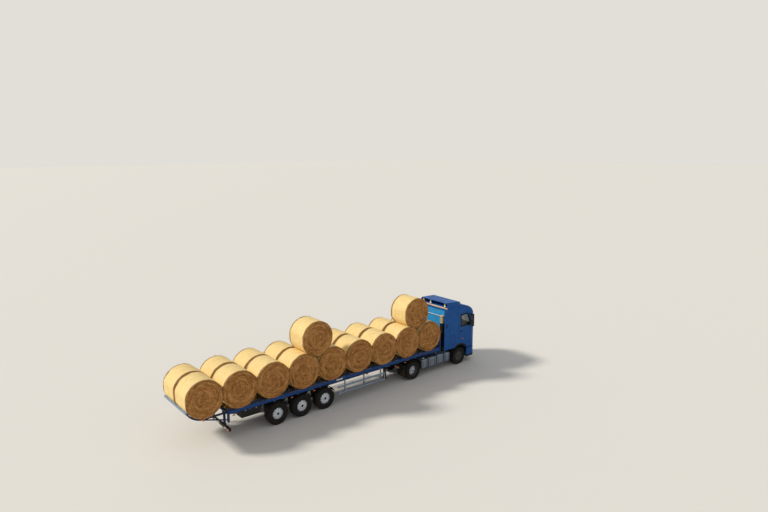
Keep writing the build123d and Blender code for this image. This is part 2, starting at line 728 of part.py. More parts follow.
arch_lip = arc_band((STEER_X, steer_radius), (WHEEL_ARCH_R, WHEEL_ARCH_R + 26), (37, 122),
                    (CAB_HALF - CAB_WALL, CAB_HALF + ARCH_LIP))
arch_lip -= block((7000, STEER_X), (1000, 1400), (800, CAB_BOTTOM))
arch_lip -= block((STEER_X, 8200), (1000, 1400), (800, CAB_FOOT))
for side, lip in zip(SIDES, both(arch_lip)):
    sides[side] += lip
save("cab_sides", sides["left"], sides["right"])
save("windscreen", (cab_volume(20) - cab_volume(28)) & screen_cut)
floor_y = (CAB_WALL - CAB_HALF, CAB_HALF - CAB_WALL)
floor = block((REAR_SPLIT, 8780), floor_y, (FLOOR_Z, FLOOR_Z + 50))
save("cab_floor", floor & cab_volume(CAB_WALL))

MIRROR_X = (8230, 8390)
MIRROR_Y = (1340, 1530)
MIRROR_Z = (2200, 2950)
for side, sign in SIDES.items():
    save(f"door_{side}", doors[side])
    save(f"door_glass_{side}", glasses[side])
    housing = fillet(block(MIRROR_X, MIRROR_Y, MIRROR_Z).edges(), 38)
    for z in (2250, 2890):
        housing += block((8310, 8350), (CAB_HALF - 8, MIRROR_Y[0]), (z, z + 40))
    housing -= cab_volume(0)
    save(f"mirror_{side}", housing if sign > 0 else flip(housing))

SEAT_YS = (-620, 620)
seats = []
for y in SEAT_YS:
    seat = block((7250, 7750), (y - 240, y + 240), (1650, 1790))
    seat_back = [(7250, 1790), (7150, 2450), (7040, 2450), (7130, 1650), (7250, 1650)]
    seat += profile(seat_back, (y - 230, y + 230))
    seat += block((7350, 7650), (y - 150, y + 150), (FLOOR_Z + 50, 1650))
    seats.append(seat)
seats.append(block((REAR_SPLIT, 6980), (-1150, 1150), (FLOOR_Z + 50, 1800)))
save("seats", *seats)
dash = profile([(8300, 1700), (8300, 2000), (8550, 2090), (8600, 2090), (8600, 1700)], (-1100, 1100))
dash += block((8350, 8600), (-1000, 1000), (FLOOR_Z + 50, 1700))
wheel_ring = Pos(8130, 620, 2010) * Rot(0, -60, 0) * Torus(225, 18)
column = Pos(8130, 620, 2010) * Rot(0, -60, 0) * (Cylinder(60, 30) + Box(420, 40, 24))
stalk = strut((8130, 2010), (8330, 1890), 50, (595, 645))
dash += wheel_ring + column + stalk
save("dashboard", dash)

DEFLECTOR = [
    # x, z, radius
    (6540, 3800, 12),
    (7600, 3740, 500),
    (7790, 3640, 250),
    (7930, 3500, 5),
    (6540, 3500, 5),
]
DEFLECTOR_SHEET = 35
DEFLECTOR_HALF = 1090


def deflector_volume(inset):
    """The roof deflector's outer form, or its inside when an inset is given."""
    past = 60 if inset else 0
    side_view = [(x - (past if x < 7000 else inset), z - inset) for x, z, _ in DEFLECTOR]
    body = profile(side_view, (-1400, 1400), [row[-1] for row in DEFLECTOR])
    left = [
        (DEFLECTOR_HALF + 50 - inset, 3400),
        (DEFLECTOR_HALF - inset, 3700),
        (DEFLECTOR_HALF - 90 - inset, 3810),
    ]
    right = [(-y, z) for y, z in reversed(left)]
    radii = [5, 60, 60]
    body &= front_view(left + right, (6000, 9200), radii + radii[::-1])
    return body & plan(
        [(6300, 1200 - inset), (7300, 1200 - inset), (7960 - inset, 820), (7960 - inset, -820),
         (7300, inset - 1200), (6300, inset - 1200)], (3300, 4000))


deflector = deflector_volume(0) - deflector_volume(DEFLECTOR_SHEET) - cab_volume(0)
deflector = deflector.solids().sort_by(SortBy.VOLUME)[-1]
fairing = block((6190, CAB_REAR), (1205, 1245), (CAB_BOTTOM, 3480))
save("air_deflectors", deflector, fairing, flip(fairing))

visor_front = [(8590, 1120), (8700, 900), (8750, 500), (8750, -500), (8700, -900), (8590, -1120)]
visor_rear = [(8570, -1100), (8670, -890), (8720, -495), (8720, 495), (8670, 890), (8570, 1100)]
visor = plan(visor_front + visor_rear, (3010, 3170))
visor -= cab_volume(0)
save("sun_visor", visor)
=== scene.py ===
"""Looks of an articulated flatbed lorry that carries round straw bales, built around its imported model."""

from __future__ import annotations

import json
import logging
import math
import random
from dataclasses import dataclass, field
from enum import Enum
from typing import Callable, Iterable, Optional, Sequence

import bmesh
import bpy
from mathutils import Matrix, Vector, noise

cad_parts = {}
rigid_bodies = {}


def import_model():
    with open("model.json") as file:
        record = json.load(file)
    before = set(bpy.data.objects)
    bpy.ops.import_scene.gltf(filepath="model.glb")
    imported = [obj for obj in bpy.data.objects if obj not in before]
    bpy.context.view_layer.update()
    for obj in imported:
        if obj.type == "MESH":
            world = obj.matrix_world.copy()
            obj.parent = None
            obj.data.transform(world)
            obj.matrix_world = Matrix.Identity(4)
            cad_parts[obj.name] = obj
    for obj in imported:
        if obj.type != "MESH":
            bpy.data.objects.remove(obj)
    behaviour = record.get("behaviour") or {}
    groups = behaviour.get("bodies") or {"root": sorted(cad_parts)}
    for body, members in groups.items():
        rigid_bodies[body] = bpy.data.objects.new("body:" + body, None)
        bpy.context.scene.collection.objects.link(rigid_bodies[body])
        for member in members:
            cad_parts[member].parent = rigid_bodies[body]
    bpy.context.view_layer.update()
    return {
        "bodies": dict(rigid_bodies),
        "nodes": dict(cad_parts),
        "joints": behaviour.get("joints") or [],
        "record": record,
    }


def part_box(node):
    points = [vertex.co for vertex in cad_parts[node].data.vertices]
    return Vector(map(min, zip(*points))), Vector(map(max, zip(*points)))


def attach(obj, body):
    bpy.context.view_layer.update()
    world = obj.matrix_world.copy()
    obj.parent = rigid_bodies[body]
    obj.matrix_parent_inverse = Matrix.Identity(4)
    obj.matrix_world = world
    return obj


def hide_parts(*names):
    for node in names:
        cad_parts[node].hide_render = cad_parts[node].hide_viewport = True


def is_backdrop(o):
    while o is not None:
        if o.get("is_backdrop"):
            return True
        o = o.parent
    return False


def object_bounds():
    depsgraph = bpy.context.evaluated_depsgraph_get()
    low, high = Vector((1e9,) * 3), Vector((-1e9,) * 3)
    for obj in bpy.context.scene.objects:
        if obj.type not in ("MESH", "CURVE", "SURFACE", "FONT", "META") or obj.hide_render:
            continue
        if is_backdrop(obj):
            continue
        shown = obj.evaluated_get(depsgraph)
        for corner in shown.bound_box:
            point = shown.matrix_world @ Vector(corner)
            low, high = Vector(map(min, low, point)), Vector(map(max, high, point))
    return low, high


LOG = logging.getLogger("lorry")
MM = 0.001
SIDES = {"left": 1.0, "right": -1.0}
TRAILER_AXLES = ("rear", "middle", "front")
TRAILER_RADIUS = 0.536
HERE = (Matrix.Identity(4),)

# Bands that a wave texture draws to the unit at a scale of 1.
WAVE_BANDS = 20

# The most of a form's thinnest side that a rounding takes.
THIN_SHARE = 0.45

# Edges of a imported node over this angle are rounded, in two steps where the radius is over FINE_EDGE.
SHARP_DEG = 40
FINE_EDGE = 3.5 * MM

# Vertices closer than this are merged.
WELD = 2e-5

# Steps of a part turn, and how much of a tyre's width its rim spans.
ARC_STEPS = 24
RIM_SHARE = 0.86

Point = Sequence[float]
Tree = bpy.types.NodeTree
Socket = bpy.types.NodeSocket
Form = bmesh.types.BMesh
Vert = bmesh.types.BMVert
Facet = bmesh.types.BMFace


# Finishes

def linear(hex_colour: str) -> tuple[float, float, float, float]:
    """Turn an sRGB hex colour into Blender's linear colour.

    Args:
        hex_colour: six hex digits, such as "2f66b1".

    Returns:
        Linear red, green, blue and an alpha of 1.
    """
    channels = [int(hex_colour[i:i + 2], 16) / 255 for i in (0, 2, 4)]
    low_end = 0.04045
    turned = [c / 12.92 if c <= low_end else ((c + 0.055) / 1.055) ** 2.4 for c in channels]
    return (turned[0], turned[1], turned[2], 1.0)


def add(tree: Tree, kind: str, settings: Optional[dict] = None,
        links: Optional[dict] = None) -> bpy.types.Node:
    """Add a node with its settings and links.

    Args:
        tree: the material's node tree.
        kind: the node's Blender type name.
        settings: properties by name, and input values under "in:" plus the input's name or number.
        links: source sockets by the input's name or number.

    Returns:
        The new node.
    """
    made = tree.nodes.new(kind)
    for key, value in (settings or {}).items():
        if key.startswith("in:"):
            socket = key[3:]
            made.inputs[int(socket) if socket.isdigit() else socket].default_value = value
        else:
            setattr(made, key, value)
    for key, source in (links or {}).items():
        tree.links.new(source, made.inputs[key])
    return made


def grade(tree: Tree, source: Socket, low: float, high: float, out_low: float = 0.0,
          out_high: float = 1.0) -> Socket:
    """Map a value from one range onto another, held at its ends."""
    made = add(tree, "ShaderNodeMapRange", {"in:From Min": low, "in:From Max": high,
                                            "in:To Min": out_low, "in:To Max": out_high}, {"Value": source})
    return made.outputs[0]


def worked(tree: Tree, operation: str, first: Socket, second: Socket | float | None = None) -> Socket:
    """Work a value out of another, and of a second one or a number where the operation takes two."""
    settings: dict = {"operation": operation}
    links: dict = {0: first}
    if isinstance(second, float):
        settings["in:1"] = second
    elif second is not None:
        links[1] = second
    return add(tree, "ShaderNodeMath", settings, links).outputs[0]


def sums(tree: Tree, *parts: Socket) -> Socket:
    """Add values up."""
    total = parts[0]
    for part in parts[1:]:
        total = worked(tree, "ADD", total, part)
    return total


def object_place(tree: Tree) -> Socket:
    """Give the place on the lorry that the shader looks at."""
    return add(tree, "ShaderNodeTexCoord").outputs["Object"]


def speckle(tree: Tree, place: Socket, scale: float, detail: float, roughness: float = 0.5) -> Socket:
    """Give a noise at a place, with so many grains to the unit."""
    values = {"in:Scale": scale, "in:Detail": detail, "in:Roughness": roughness}
    return add(tree, "ShaderNodeTexNoise", values, {"Vector": place}).outputs["Fac"]


def steady(shader: bpy.types.Node, values: dict) -> None:
    """Set the shader's values that are the same all over."""
    for socket, value in values.items():
        shader.inputs[socket].default_value = value


def raised(tree: Tree, shader: bpy.types.Node, height: Socket, strength: float, distance: float) -> None:
    """Raise the surface by a height, in metres at its most."""
    values = {"in:Strength": strength, "in:Distance": distance}
    bump = add(tree, "ShaderNodeBump", values, {"Height": height})
    tree.links.new(bump.outputs[0], shader.inputs["Normal"])


def mixed(tree: Tree, share: Socket, first: Socket | str, second: Socket | str) -> Socket:
    """Mix two colours, each a socket or a hex colour, by a share of the second."""
    settings: dict = {"data_type": "RGBA"}
    links: dict = {0: share}
    for number, colour in ((6, first), (7, second)):
        if isinstance(colour, str):
            settings[f"in:{number}"] = linear(colour)
        else:
            links[number] = colour
    return add(tree, "ShaderNodeMix", settings, links).outputs[2]


def blank(name: str) -> tuple[bpy.types.Material, Tree, bpy.types.Node]:
    """Make a node material and give it with its tree and shader."""
    material = bpy.data.materials.new(name)
    material.use_nodes = True
    return material, material.node_tree, material.node_tree.nodes["Principled BSDF"]


class Relief(Enum):
    """The fine relief that a surface has, by how strong it is."""

    NONE = 0.0
    ORANGE_PEEL = 0.05
    CAST = 0.5
    GRAIN = 0.3


@dataclass(frozen=True)
class Coat:
    """A painted, moulded or metal finish with field dust and a fine relief.

    The dust lies in soft patches about 300 mm across, and thickens towards the road.
    """

    name: str
    colour: str
    shade: str
    roughness: float
    metallic: float = 0.0
    clear_coat: float = 0.0
    dust: float = 0.25
    relief: Relief = Relief.NONE
    relief_mm: float = 2.0
    patch_mm: float = 300.0
    dust_colour: str = "a98f66"
    specular: float = 0.5

    def build(self) -> bpy.types.Material:
        """Make the material."""
        material, tree, shader = blank(self.name)
        place = object_place(tree)
        patches = speckle(tree, place, 1.0 / (self.patch_mm * MM), 5.0, 0.62)
        tone = mixed(tree, grade(tree, patches, 0.35, 0.65), self.colour, self.shade)
        if self.dust:
            height = add(tree, "ShaderNodeSeparateXYZ", {}, {0: place}).outputs["Z"]
            low_down = grade(tree, height, 0.2, 1.9, 1.0, 0.12)
            film = grade(tree, patches, 0.4, 0.75, self.dust * 0.15, self.dust)
            tone = mixed(tree, worked(tree, "MULTIPLY", film, low_down), tone, self.dust_colour)
        tree.links.new(tone, shader.inputs["Base Color"])
        tree.links.new(grade(tree, patches, 0.3, 0.7, self.roughness, min(1.0, self.roughness + 0.18)),
                       shader.inputs["Roughness"])
        steady(shader, {"Metallic": self.metallic, "Coat Weight": self.clear_coat, "Coat Roughness": 0.06,
                        "Specular IOR Level": self.specular})
        if self.relief is not Relief.NONE:
            size = self.relief_mm * MM
            raised(tree, shader, speckle(tree, place, 1.0 / size, 2.0), self.relief.value, size * 0.5)
        return material


@dataclass(frozen=True)
class Pane:
    """Tinted toughened glass, clear, smooth and slightly green."""

    name: str
    colour: str
    alpha: float

    def build(self) -> bpy.types.Material:
        """Make the material."""
        material, _, shader = blank(self.name)
        steady(shader, {"Base Color": linear(self.colour), "Roughness": 0.03, "IOR": 1.5,
                        "Alpha": self.alpha})
        return material


class Face(Enum):
    """Which part of a bale a straw finish is for."""

    WRAP = "wrap"
    END = "end"
    LOOSE = "loose"


STALKS = {
    Face.WRAP: ((11.0, 190.0), (2.4, 30.0), 0.04),
    Face.END: ((15.0, 130.0), (4.5, 34.0), 0.08),
    Face.LOOSE: ((20.0, 90.0), (6.0, 30.0), 0.12),
}


@dataclass(frozen=True)
class Straw:
    """Cut cereal straw: dry hollow stalks 3 to 5 mm thick, pale, slightly glossy and pressed flat.

    Under the net the stalks run round the bale and are bleached, and the net stops short of the rims, so that
    the straw there is bare and browner. The net's strands lie every 25 mm, and are drawn every 50 mm so that
    they show. The ends show broken stalks in the layers that the press rolled up. STALKS gives each face its
    fine and its wide stalks, in streaks to a radian and to a metre, and how far its clumps lie apart in tone.
    """

    name: str
    face: Face
    pale: str
    middle: str
    # The dark colour is painted shade in the gaps between stalks.
    dark: str
    roughness: float
    bare: str = "7f5320"
    net: str = "fff4d6"
    net_mm: float = 50.0
    half_mm: float = 636.0
    bare_mm: float = 96.0
    fray_mm: float = 12.0
    layer_mm: float = 58.0
    seed_shift: float = 3.7

    def stalks(self, tree: Tree, place: Socket, around: float, along: float) -> Socket:
        """Add streaks of stalks: so many to a radian round the bale, and to a metre the other way."""
        laid = add(tree, "ShaderNodeMapping", {"in:Scale": (around, around, along)}, {"Vector": place})
        return speckle(tree, laid.outputs[0], 1.0, 5.0, 0.7)

    def spots(self, tree: Tree) -> tuple[Socket, ...]:
        """Find the turn round the bale, the place along or out from its axis, and both as a closed pattern."""
        read = add(tree, "ShaderNodeUVMap", {"uv_map": "straw"}).outputs["UV"]
        around, along, _ = add(tree, "ShaderNodeSeparateXYZ", {}, {0: read}).outputs
        half_turns = {"operation": "WRAP", "in:1": 0.5, "in:2": -0.5}
        turn = add(tree, "ShaderNodeMath", half_turns, {0: around}).outputs[0]
        seed = worked(tree, "SUBTRACT", around, turn)
        angle = worked(tree, "MULTIPLY", turn, math.tau)
        apart = worked(tree, "MULTIPLY", seed, self.seed_shift)
        place = add(tree, "ShaderNodeCombineXYZ", {}, {0: worked(tree, "COSINE", angle),
                                                       1: worked(tree, "SINE", angle),
                                                       2: sums(tree, along, apart)}).outputs[0]
        return turn, along, place

    def ramp(self, tree: Tree, share: Socket) -> Socket:
        """Colour a value from the painted shade in the gaps between stalks to their pale sides."""
        made = add(tree, "ShaderNodeValToRGB", {}, {"Fac": share})
        bands = made.color_ramp.elements
        bands.new(0.5)
        for band, (place, colour) in zip(bands, ((0.34, self.dark), (0.47, self.middle), (0.66, self.pale))):
            band.position = place
            band.color = linear(colour)
        return made.outputs[0]

    def layered(self, tree: Tree, place: Socket, turn: Socket, out: Socket) -> Socket:
        """Give the light and dark of the layers that the press rolled up, winding out from the axis."""
        rolls = grade(tree, self.stalks(tree, place, 0.85, 9.0), 0.3, 0.7, -0.11, 0.11)
        wound = sums(tree, worked(tree, "MULTIPLY", out, 1000.0 / self.layer_mm), turn)
        return sums(tree, rolls, grade(tree, worked(tree, "PINGPONG", wound, 0.5), 0.0, 0.5, -0.07, 0.05))

    def strands(self, tree: Tree, along: Socket) -> Socket:
        """Find the net's strands that run round the bale."""
        strand = worked(tree, "MULTIPLY", along, 1000.0 / self.net_mm)
        return grade(tree, worked(tree, "PINGPONG", strand, 0.5), 0.03, 0.09, 0.45, 0.0)

    def beyond_net(self, tree: Tree, along: Socket, uneven: Socket) -> Socket:
        """Find the bare straw beyond the net's frayed edges."""
        reach = sums(tree, worked(tree, "ABSOLUTE", along), grade(tree, uneven, 0.3, 0.7, -0.06, 0.06))
        edge = (self.half_mm - self.bare_mm) * MM
        fray = self.fray_mm * MM
        return grade(tree, reach, edge - fray, edge + fray, 0.0, 0.9)

    def build(self) -> bpy.types.Material:
        """Make the material."""
        material, tree, shader = blank(self.name)
        if self.face is Face.LOOSE:
            place = object_place(tree)
        else:
            turn, along, place = self.spots(tree)
        fine, wide, clump = STALKS[self.face]
        wide_stalks = self.stalks(tree, place, *wide)
        both = add(tree, "ShaderNodeMix", {"data_type": "FLOAT", "in:0": 0.5},
                   {2: self.stalks(tree, place, *fine), 3: wide_stalks}).outputs[0]
        both = sums(tree, both, grade(tree, self.stalks(tree, place, 3.0, 7.0), 0.3, 0.7, -clump, clump))
        if self.face is Face.END:
            both = sums(tree, both, self.layered(tree, place, turn, along))
        colour = self.ramp(tree, both)
        if self.face is Face.WRAP:
            net = self.strands(tree, along)
            colour = mixed(tree, net, colour, self.net)
            colour = mixed(tree, self.beyond_net(tree, along, wide_stalks), colour, self.bare)
            both = sums(tree, both, net)
        tree.links.new(colour, shader.inputs["Base Color"])
        steady(shader, {"Roughness": self.roughness, "Specular IOR Level": 0.25})
        raised(tree, shader, both, 0.8, 8 * MM)
        return material


@dataclass(frozen=True)
class Weave:
    """Woven seat cloth with its threads about 2 mm apart."""

    name: str
    colour: str
    shade: str
    thread_mm: float = 2.0

    def build(self) -> bpy.types.Material:
        """Make the material."""
        material, tree, shader = blank(self.name)
        place = object_place(tree)
        scale = 1.0 / (self.thread_mm * MM)
        threads = [add(tree, "ShaderNodeTexWave",
                       {"bands_direction": way, "in:Scale": scale / WAVE_BANDS, "in:Distortion": 0.6},
                       {"Vector": place}).outputs["Fac"] for way in ("X", "Y", "Z")]
        weave = sums(tree, worked(tree, "MULTIPLY", threads[0], threads[1]), threads[2])
        tree.links.new(mixed(tree, weave, self.shade, self.colour), shader.inputs["Base Color"])
        steady(shader, {"Roughness": 0.92, "Sheen Weight": 0.3})
        raised(tree, shader, weave, 0.3, 1 * MM)
        return material


@dataclass(frozen=True)
class Boards:
    """Weathered deck boards, dark with age, with grain along the lorry and straw dust in it."""

    name: str
    colour: str
    shade: str
    dust_colour: str

    def build(self) -> bpy.types.Material:
        """Make the material."""
        material, tree, shader = blank(self.name)
        place = object_place(tree)
        along = add(tree, "ShaderNodeMapping", {"in:Scale": (2.0, 60.0, 60.0)}, {"Vector": place}).outputs[0]
        grain = speckle(tree, along, 1.0, 6.0)
        spread = speckle(tree, place, 6.0, 7.0, 0.75)
        wood = mixed(tree, grade(tree, grain, 0.35, 0.65), self.shade, self.colour)
        tree.links.new(mixed(tree, grade(tree, spread, 0.47, 0.6, 0.0, 0.85), wood, self.dust_colour),
                       shader.inputs["Base Color"])
        steady(shader, {"Roughness": 0.88})
        raised(tree, shader, grain, 0.5, 2 * MM)
        return material


FINISHES = {
    # Cab blue, set darker than the paint itself to stand for the shade on the cab's sides: partly its colour,
    # partly painted shade.
    "blue": Coat("gloss_blue_cab_paint", "10569e", "0e4f94", 0.38, clear_coat=0.03, dust=0.02, specular=0.16,
                 relief=Relief.ORANGE_PEEL, relief_mm=4.0),
    # A lighter copy of the cab blue for the rear wall's face: painted sunlight.
    "sunlit_wall_blue": Coat("sun_bleached_blue_paint", "2f9ad6", "2a8dc8", 0.45, dust=0.05, specular=0.25),
    "rail_blue": Coat("blue_deck_rail_paint", "0d478a", "0b3a76", 0.45, dust=0.08, specular=0.25),
    # A darker copy of the rail blue for the trailer frame and the rear rack: painted shade under the deck and
    # the bales.
    "shaded_frame_blue": Coat("worn_blue_frame_paint", "0d2c5e", "0a2246", 0.5, dust=0.15, specular=0.25),
    "black_paint": Coat("black_chassis_paint", "101114", "17181b", 0.55, dust=0.2, specular=0.3),
    "rim": Coat("light_grey_rim_paint", "e4ebf2", "d8dfe6", 0.4, dust=0.04),
    # Dark grey for the rims' wells and lips and the steer wheels' discs: painted shade inside the rims and
    # under the cab's arches.
    "rim_painted_shade": Coat("dark_grey_rim_paint", "3c4046", "313439", 0.5, dust=0.15),
    "steel": Coat("zinc_plated_steel", "8d929a", "7a7f87", 0.35, metallic=0.85, dust=0.15),
    # Pale blue-grey; on the rear rack's crossbar it is painted sunlight.
    "pale_bar": Coat("pale_blue_grey_bar", "8fa3bd", "7d91aa", 0.45, metallic=0.3, dust=0.2),
    "chrome": Coat("bright_lamp_reflector", "d9dde2", "ced2d8", 0.12, metallic=1.0, dust=0.0),
    "iron": Coat("grey_cast_iron", "2d2f33", "232427", 0.6, metallic=0.4, dust=0.3,
                 relief=Relief.CAST, relief_mm=6.0),
    # Tank aluminium, set darker than bare metal to stand for the shade on the tanks' faces: partly its colour,
    # partly painted shade.
    "aluminium": Coat("brushed_tank_aluminium", "7c8999", "707c8b", 0.4, metallic=0.4, dust=0.08),
    "deck_steel": Coat("worn_blue_deck_plate", "15569a", "2a4e78", 0.5, dust=0.3, specular=0.3,
                       relief=Relief.CAST, relief_mm=24.0),
    "tank_band": Coat("stainless_tank_band", "5b636e", "4f5761", 0.35, metallic=0.6, dust=0.1),
    "tread_plate": Coat("aluminium_tread_plate", "8b9098", "7b8088", 0.4, metallic=0.8, dust=0.25,
                        relief=Relief.CAST, relief_mm=28.0),
    "guard": Coat("pale_guard_aluminium", "8c9caf", "7d8da0", 0.45, metallic=0.2, dust=0.15),
    "rubber": Coat("tyre_rubber", "0b0c10", "101116", 0.82, dust=0.06, relief=Relief.GRAIN, relief_mm=3.0,
                   specular=0.3),
    "flap": Coat("rubber_mud_flap", "0e0f11", "151618", 0.85, dust=0.2, specular=0.25),
    "plastic": Coat("moulded_black_plastic", "0e0f12", "141518", 0.6, dust=0.06,
                    relief=Relief.GRAIN, relief_mm=2.0, specular=0.3),
    "sand_plastic": Coat("sun_faded_sand_plastic", "e8c99c", "d3ad7c", 0.6, dust=0.1),
    "white_plastic": Coat("white_moulded_plastic", "eceae4", "dcdad2", 0.45, dust=0.1),
    "trim": Coat("grey_cab_trim", "33343a", "28292e", 0.7, dust=0.0, relief=Relief.GRAIN, relief_mm=2.0),
    "smoked": Coat("smoked_acrylic", "10131a", "161a24", 0.12, clear_coat=0.5, dust=0.0),
    "red_lens": Coat("red_lamp_lens", "9c120d", "820f0a", 0.15, clear_coat=0.7, dust=0.05),
    "amber_lens": Coat("amber_lamp_lens", "e8802a", "d06c1c", 0.18, clear_coat=0.6, dust=0.0),
    "marker_lens": Coat("weathered_marker_lens", "9c5a34", "864a2a", 0.3, clear_coat=0.3, dust=0.05),
    "white_lens": Coat("clear_lamp_lens", "dfe4ea", "cfd5dc", 0.08, clear_coat=0.8, dust=0.0),
    "plate": Coat("blank_plate_sheet", "d8d8d2", "cbcbc4", 0.4, dust=0.1),
    "mirror": Coat("mirror_glass", "c9d3dc", "bfc9d2", 0.03, metallic=1.0, dust=0.0),
    "band": Coat("black_glass_edge_print", "050607", "08090b", 0.3, dust=0.0, specular=0.15),
    "cloth": Weave("woven_seat_cloth", "3b3f4a", "22242b"),
    "board": Boards("weathered_deck_boards", "4a3a29", "33281c", "c9a768"),
    "glass": Pane("tinted_glass", "3c4a48", 0.4),
    "lamp_glass": Pane("clear_lamp_glass", "e8eef4", 0.22),
    "wrap": Straw("netted_straw_wrap", Face.WRAP, "fbe3a4", "f0cf86", "c8984f", 0.65),
    # The ends' browns are set darker to stand for the shade on the bale ends: partly the straw's colour,
    # partly painted shade.
    "straw_end": Straw("rolled_straw_end", Face.END, "cd9a60", "a26c33", "613c19", 0.88),
    "straw_loose": Straw("loose_straw", Face.LOOSE, "e9c886", "c59a55", "8a6232", 0.75),
}


# Shapes

class Shape:
    """A mesh that grows from simple worked forms, each with its finish."""

    def __init__(self) -> None:
        """Start with nothing."""
        self.mesh = bmesh.new()
        self.finishes: list[str] = []

    def take(self, form: Form, finish: str, places: Iterable[Matrix] = HERE) -> None:
        """Take a form into the shape with a finish, once at each place, and free it."""
        number = self.number(finish)
        data = bpy.data.meshes.new("form")
        form.to_mesh(data)
        form.free()
        for place in places:
            known_faces = len(self.mesh.faces)
            known_verts = len(self.mesh.verts)
            self.mesh.from_mesh(data)
            self.mesh.verts.ensure_lookup_table()
            self.mesh.faces.ensure_lookup_table()
            bmesh.ops.transform(self.mesh, matrix=place, verts=self.mesh.verts[known_verts:])
            for face in self.mesh.faces[known_faces:]:
                face.material_index = number
        bpy.data.meshes.remove(data)

    def number(self, finish: str) -> int:
        """Give a finish's material number, listing it the first time."""
        if finish not in self.finishes:
            self.finishes.append(finish)
        return self.finishes.index(finish)

    def block(self, low: Point, high: Point, finish: str, edge: float = 0.004, segments: int = 2) -> None:
        """Add a box with softened edges.

        Args:
            low: one of its corners.
            high: the opposite corner.
            finish: the finish's name.
            edge: the radius of its edges.
            segments: how many steps round each edge.
        """
        size = Vector([abs(b - a) for a, b in zip(low, high)])
        form = box_form(size, (Vector(low) + Vector(high)) / 2)
        soften(form, form.edges, min(edge, min(size) * THIN_SHARE), segments)
        self.take(form, finish)

    def pair(self, low: Point, high: Point, finish: str, edge: float = 0.004, segments: int = 2) -> None:
        """Add a box on the left and its like on the right, from the left one's corners."""
        for sign in SIDES.values():
            corners = [(x, sign * y, z) for x, y, z in (low, high)]
            self.block(*corners, finish, edge, segments)

    def bar(self, start: Point, end: Point, size: Point, finish: str, edge: float = 0.004) -> None:
        """Add a straight bar of rectangular section between two points.

        Args:
            start: where it begins.
            end: where it ends.
            size: its width across and its depth.
            finish: the finish's name.
            edge: the radius of its edges.
        """
        form = box_form((size[0], size[1], (Vector(end) - Vector(start)).length))
        soften(form, form.edges, min(edge, min(size) * THIN_SHARE), 2)
        lay(form, start, end)
        self.take(form, finish)

    def rod(self, start: Point, end: Point, radius: float, finish: str, sides: int = 16, edge: float = 0.0,
            places: Iterable[Matrix] = HERE) -> None:
        """Add a round rod.

        Args:
            start: where it begins.
            end: where it ends.
            radius: its radius.
            finish: the finish's name.
            sides: how many sides it has.
            edge: the radius of the rounding round its ends.
            places: where its copies go.
        """
        form = bmesh.new()
        bmesh.ops.create_cone(form, cap_ends=True, segments=sides, radius1=radius, radius2=radius,
                              depth=(Vector(end) - Vector(start)).length)
        if edge:
            rims = [e for e in form.edges if any(len(f.verts) > 4 for f in e.link_faces)]
            soften(form, rims, edge, 2)
        lay(form, start, end)
        self.take(form, finish, places)

    def lathe(self, points: Sequence[tuple[float, float]], centre: Point, finish: str, steps: int = 48,
              axis: str = "Y", closed: bool = True) -> None:
        """Turn a section about an axis.

        Args:
            points: radius and place along the axis of each corner.
            centre: the axis' middle.
            finish: the finish's name.
            steps: how many steps the turn has.
            axis: which axis it turns about.
            closed: whether the section's last corner joins its first.
        """
        form = turned(points, steps, closed)
        turns = {"Y": Matrix.Identity(4), "X": Matrix.Rotation(math.radians(-90), 4, "Z"),
                 "Z": Matrix.Rotation(math.radians(90), 4, "X")}
        self.take(form, finish, [Matrix.Translation(Vector(centre)) @ turns[axis]])

    def hose(self, points: Sequence[Point], radius: float, finish: str, sides: int = 8,
             rounds: int = 6) -> None:
        """Lead a round hose along a smoothed path.

        Args:
            points: the path's corners.
            radius: the hose's radius.
            finish: the finish's name.
            sides: how many sides its section has.
            rounds: how many steps each stretch of the path has.
        """
        path = smooth_path([Vector(p) for p in points], rounds)
        form = bmesh.new()
        ring = bmesh.ops.create_circle(form, cap_ends=True, segments=sides, radius=radius)["verts"]
        way = (path[1] - path[0]).normalized()
        turn = way.to_track_quat("Z", "Y").to_matrix().to_4x4()
        bmesh.ops.transform(form, matrix=Matrix.Translation(path[0]) @ turn, verts=ring)
        cap = form.faces[:]
        for number in range(1, len(path)):
            old_cap = cap
            verts, cap = drawn(form, old_cap, path[number] - path[number - 1])
            if number > 1:
                bmesh.ops.delete(form, geom=old_cap, context="FACES_ONLY")
            onward = (path[min(number + 1, len(path) - 1)] - path[number - 1]).normalized()
            bend = way.rotation_difference(onward).to_matrix()
            bmesh.ops.rotate(form, cent=path[number], matrix=bend, verts=verts)
            way = onward
        bmesh.ops.recalc_face_normals(form, faces=form.faces)
        self.take(form, finish)

    def sheet(self, corners: Sequence[Point], way: Point, finish: str) -> None:
        """Add a flat plate from its outline, drawn out along a way.

        Args:
            corners: the outline's corners in order.
            way: how far and which way its thickness goes.
            finish: the finish's name.
        """
        form = bmesh.new()
        drawn(form, flat_face(form, corners), way)
        bmesh.ops.recalc_face_normals(form, faces=form.faces)
        self.take(form, finish)

    def ring(self, outline: Sequence[tuple[float, float]], inner: float, outer: float,
             spot: Callable[[Vector], Vector], way: Point, finish: str) -> None:
        """Add a flat frame along an outline.

        Args:
            outline: the outline's flat corners, anticlockwise.
            inner: how far in of the outline the frame begins.
            outer: how far out of it the frame ends.
            spot: where a flat corner lies on the lorry.
            way: how far and which way the frame's thickness goes.
            finish: the finish's name.
        """
        near = [spot(p) for p in grown(outline, -inner)]
        far = [spot(p) for p in grown(outline, outer)]
        for i in range(len(outline)):
            following = (i + 1) % len(outline)
            self.sheet([near[i], near[following], far[following], far[i]], way, finish)

